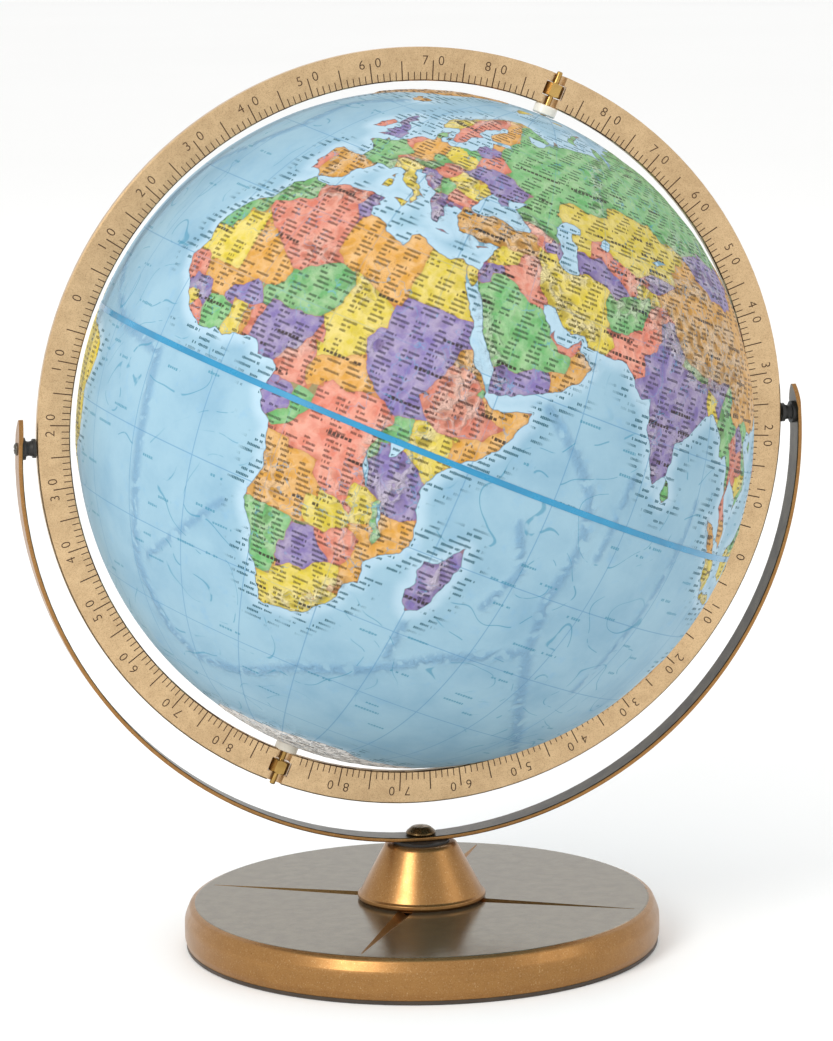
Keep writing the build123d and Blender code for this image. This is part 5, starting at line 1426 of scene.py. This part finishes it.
class MetalSettings(bpy.types.PropertyGroup):
    bronze: colour_property("Bronze paint", "Main colour of the ring, yoke, cone and base", "9e7444")
    ring_bronze: colour_property("Ring bronze", "Paler paint of the meridian ring", "d2b48b")
    bronze_dark: colour_property("Bronze shade", "Darker flakes in the bronze paint", "73502c")
    bronze_rough: number_property("Bronze roughness", "How dull the bronze paint is", 0.31)
    stamp_depth: number_property("Stamp depth", "Depth of the degree scale, in mm", 0.22)
    tick_short: number_property("Degree mark", "Length of a one degree mark, in mm", 3.7)
    tick_five: number_property("Five degree mark", "Length of a five degree mark, in mm", 8.6)
    tick_long: number_property("Ten degree mark", "Length of a ten degree mark, in mm", 8.9)
    tick_width: number_property("Mark width", "Width of a degree mark, in mm", 0.42)
    digit_height: number_property("Number height", "Height of the stamped numbers, in mm", 4.3)
    digit_centre: number_property("Number line", "Distance of the numbers from the ring's bore, in mm", 9.15)
    digit_gap: number_property("Number gap", "Distance of a digit from its mark, in mm", 3.7)
    scale_fill: colour_property("Scale fill", "Colour inside the stamped marks", "5d4128")


class StageSettings(bpy.types.PropertyGroup):
    azimuth: number_property("Azimuth", "Direction of the camera, in degrees", -13.0, -180)
    elevation: number_property("Elevation", "Height angle of the camera, in degrees", 9.8, -90)
    distance: number_property("Distance", "Distance of the camera, in metres", 1.964)
    lens: number_property("Lens", "Focal length, in mm", 150.0)
    aim: number_property("Aim height", "Height that the camera looks at, in metres", 0.196)
    roll: number_property("Roll", "Turn of the camera about its own line of sight, in degrees", -0.8, -90)
    key: number_property("Key light", "Power of the main light, in watts", 50.0)
    fill: number_property("Fill light", "Power of the second light, in watts", 7.0)
    world: number_property("World light", "Strength of the pale surroundings", 1.0)


# Pieces


class GLOBE_OT_map(bpy.types.Operator):
    """Moulds and prints the two halves of the relief map"""

    bl_idname = "globe.printed_map"
    bl_label = "Printed relief map"

    def execute(self, context):
        settings = context.scene.globe_map
        lines = map_lines(settings)
        material = map_paint(settings)
        for side, name, node in ((1, "north_map", "north_map_skin"), (-1, "south_map", "south_map_skin")):
            made = build_half(side, settings, lines, name, node)
            made.data.materials.append(material)
        return {"FINISHED"}


class GLOBE_OT_tape(bpy.types.Operator):
    """Finishes the tape on the equator and the boards under the map"""

    bl_idname = "globe.equator_tape"
    bl_label = "Equator tape and ball boards"

    def execute(self, context):
        tape = plain_finish("equator_tape_gloss", srgb("0d86b2"), srgb("0a7099"), 0.0, 0.3, 700.0, 0.00002, 0.4)
        board = plain_finish("ball_board_grey", srgb("b9ab94"), srgb("94866f"), 0.0, 0.8, 500.0, 0.0001)
        dress("equator_tape", tape)
        for node in ("north_hemisphere", "south_hemisphere", "equator_joint_ring"):
            dress(node, board)
        return {"FINISHED"}


class GLOBE_OT_ring(bpy.types.Operator):
    """Stamps the degree scale into the meridian ring and paints it"""

    bl_idname = "globe.meridian_ring"
    bl_label = "Stamped meridian ring"

    def execute(self, context):
        settings = context.scene.globe_metal
        ring = stamped_ring(settings)
        ring.data.materials.clear()
        ring.data.materials.append(bronze_finish("ring_bronze_paint", settings, pale=True))
        ring.data.materials.append(fill_paint(settings))
        mesh = ring.data
        mesh.shade_smooth()
        mesh.set_sharp_from_angle(angle=math.radians(28))
        # floors and walls of the stamped marks get the painted shade
        low = RING_FACE - settings.stamp_depth * MM * 1.2
        for face in mesh.polygons:
            level = abs((ring.matrix_world @ face.center).y)
            face.material_index = 1 if low < level < RING_FACE - 0.00003 and self.in_mark(face, settings) else 0
        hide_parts("meridian_ring")
        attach(ring, "meridian")
        return {"FINISHED"}

    def in_mark(self, face, settings):
        """True away from the ring's own chamfers and slots."""
        offset = face.center - Vector(CENTRE)
        radius = math.hypot(offset.x, offset.z)
        along = abs(offset.x * POLE[0] + offset.z * POLE[2])
        across = abs(offset.x * EAST[0] + offset.z * EAST[2])
        at_pole = across < 0.0065 and along > 0.1
        return RING_INNER + 0.0002 < radius < RING_OUTER - 0.0008 and not at_pole


class GLOBE_OT_pivots(bpy.types.Operator):
    """Finishes the pins, nuts, spacers and pivots that the ring and ball turn on"""

    bl_idname = "globe.pivots"
    bl_label = "Pins, nuts and pivots"

    def execute(self, context):
        brass = plain_finish(
            "brass_rod", srgb("c9a562"), srgb("8a6a38"), 0.95, 0.3, 900.0, 0.00003, wear=srgb("e8cf95")
        )
        steel = plain_finish("pivot_steel", srgb("5a554c"), srgb("2f2c27"), 0.9, 0.34, 900.0, 0.00003)
        white = plain_finish("white_spacer", srgb("ebe6da"), srgb("d3ccbd"), 0.0, 0.34, 600.0, 0.00003, 0.2)
        black = plain_finish("black_washer", srgb("24221f"), srgb("141311"), 0.0, 0.5, 900.0, 0.00005)
        bush = plain_finish("bush_plastic", srgb("ddd6c6"), srgb("bcb4a2"), 0.0, 0.4, 600.0, 0.00003)
        for end in ("north", "south"):
            dress(end + "_axle_pin", brass)
            dress(end + "_axle_nut", brass)
            dress(end + "_pole_spacer", white)
            dress(end + "_pole_bush", bush)
        for end in ("left", "right"):
            dress("pivot_screw_" + end, steel)
            dress("pivot_washers_" + end, black)
            dress("pivot_spacer_" + end, black)
        return {"FINISHED"}


class GLOBE_OT_stand(bpy.types.Operator):
    """Finishes the yoke, the cone, the pressed base and what bolts them together"""

    bl_idname = "globe.stand"
    bl_label = "Yoke, cone and base"

    def execute(self, context):
        settings = context.scene.globe_metal
        dress("yoke", bronze_finish("yoke_bronze_paint", settings, inner=True))
        dress("pedestal_cone", bronze_finish("cone_bronze_paint", settings))
        dress("base_shell", bronze_finish("base_bronze_paint", settings, top=True))
        trim = plain_finish("black_trim", srgb("3a2d20"), srgb("241b13"), 0.0, 0.42, 800.0, 0.00004)
        board = plain_finish("cover_board", srgb("6b5a43"), srgb("4d4030"), 0.0, 0.85, 500.0, 0.0001)
        iron = plain_finish("cast_ballast", srgb("4a4744"), srgb("2c2a28"), 0.8, 0.6, 400.0, 0.0002)
        rubber = plain_finish("saddle_washer_black", srgb("1f1d1b"), srgb("121110"), 0.0, 0.55, 700.0, 0.00005)
        zinc = plain_finish("zinc_steel", srgb("b7b9b6"), srgb("8d8f8c"), 0.95, 0.34, 900.0, 0.00003)
        bolt = plain_finish(
            "dark_brass_bolt", srgb("6d5636"), srgb("3b2d1b"), 0.92, 0.26, 900.0, 0.00003, wear=srgb("c9a469")
        )
        dress("rim_trim", trim)
        dress("bottom_cover", board)
        dress("ballast_plate", iron)
        dress("saddle_washer", rubber)
        dress("lock_washer", zinc)
        dress("bolt_nut", zinc)
        dress("tie_bolt", bolt)
        return {"FINISHED"}


def area_light(name, power, size, place, target, colour):
    light = bpy.data.lights.new(name, "AREA")
    light.energy = power
    light.shape = "DISK"
    light.size = size
    light.color = colour
    made = new_object(name, light)
    made.location = place
    made.rotation_euler = (Vector(target) - Vector(place)).to_track_quat("-Z", "Y").to_euler()
    return made


class GLOBE_OT_stage(bpy.types.Operator):
    """Sets the pale floor, the soft lights and the camera"""

    bl_idname = "globe.stage"
    bl_label = "Floor, lights and camera"

    def execute(self, context):
        settings = context.scene.globe_stage
        size = 40.0
        mesh = bpy.data.meshes.new("studio_floor")
        corners = [(-size, -size, 0), (size, -size, 0), (size, size, 0), (-size, size, 0)]
        mesh.from_pydata(corners, [], [(0, 1, 2, 3)])
        floor = new_object("studio_floor", mesh)
        paint = Paint("floor_paper")
        tone = paint.noise(paint.place(), 1.4, 2.0)
        colour = paint.mix(srgb("fcfcfb"), srgb("f8f8f7"), tone)
        floor.data.materials.append(paint.done({"Base Color": colour, "Roughness": 0.7}))
        world = bpy.data.worlds.new("pale_studio")
        context.scene.world = world
        context.scene.view_settings.view_transform = "Standard"
        world.use_nodes = True
        back = world.node_tree.nodes["Background"]
        back.inputs["Color"].default_value = (1.0, 1.0, 1.0, 1.0)
        back.inputs["Strength"].default_value = settings.world
        aim = (0.0, 0.0, 0.24)
        lights = [
            area_light("key_light", settings.key, 1.2, (-2.0, -1.7, 1.9), aim, (1.0, 0.98, 0.95)),
            area_light("fill_light", settings.fill, 1.6, (2.2, -1.5, 1.4), aim, (1.0, 0.97, 0.93)),
            area_light("back_light", settings.fill * 0.8, 1.4, (0.8, 2.2, 1.9), aim, (1.0, 1.0, 1.0)),
        ]
        self.camera(context, settings)
        return {"FINISHED"}

    def camera(self, context, settings):
        az = math.radians(settings.azimuth)
        el = math.radians(settings.elevation)
        back = Vector((math.sin(az) * math.cos(el), -math.cos(az) * math.cos(el), math.sin(el)))
        data = bpy.data.cameras.new("camera")
        data.lens = settings.lens
        data.clip_end = 100
        made = new_object("camera", data)
        made.location = Vector((0, 0, settings.aim)) + back * settings.distance
        turn = back.to_track_quat("Z", "Y").to_matrix()
        roll = Matrix.Rotation(math.radians(settings.roll), 3, "Z")
        made.rotation_euler = (turn @ roll).to_euler()
        context.scene.camera = made


OPERATORS = (GLOBE_OT_map, GLOBE_OT_tape, GLOBE_OT_ring, GLOBE_OT_pivots, GLOBE_OT_stand, GLOBE_OT_stage)
SETTINGS = (("globe_map", MapSettings), ("globe_metal", MetalSettings), ("globe_stage", StageSettings))


class GLOBE_PT_panel(bpy.types.Panel):
    """Lists the pieces of the globe"""

    bl_label = "Desktop globe"
    bl_idname = "GLOBE_PT_panel"
    bl_space_type = "VIEW_3D"
    bl_region_type = "UI"
    bl_category = "Globe"

    def draw(self, context):
        for operator in OPERATORS:
            self.layout.operator(operator.bl_idname)
        for name, _ in SETTINGS:
            group = getattr(context.scene, name)
            for key in group.__annotations__:
                self.layout.prop(group, key)


def register():
    for name, kind in SETTINGS:
        bpy.utils.register_class(kind)
        setattr(bpy.types.Scene, name, bpy.props.PointerProperty(type=kind))
    for operator in OPERATORS + (GLOBE_PT_panel,):
        bpy.utils.register_class(operator)


def unregister():
    for operator in OPERATORS + (GLOBE_PT_panel,):
        bpy.utils.unregister_class(operator)
    for name, kind in SETTINGS:
        delattr(bpy.types.Scene, name)
        bpy.utils.unregister_class(kind)


def main():
    register()
    for operator in OPERATORS:
        group, name = operator.bl_idname.split(".")
        getattr(getattr(bpy.ops, group), name)()


if __name__ == "__main__":
    main()
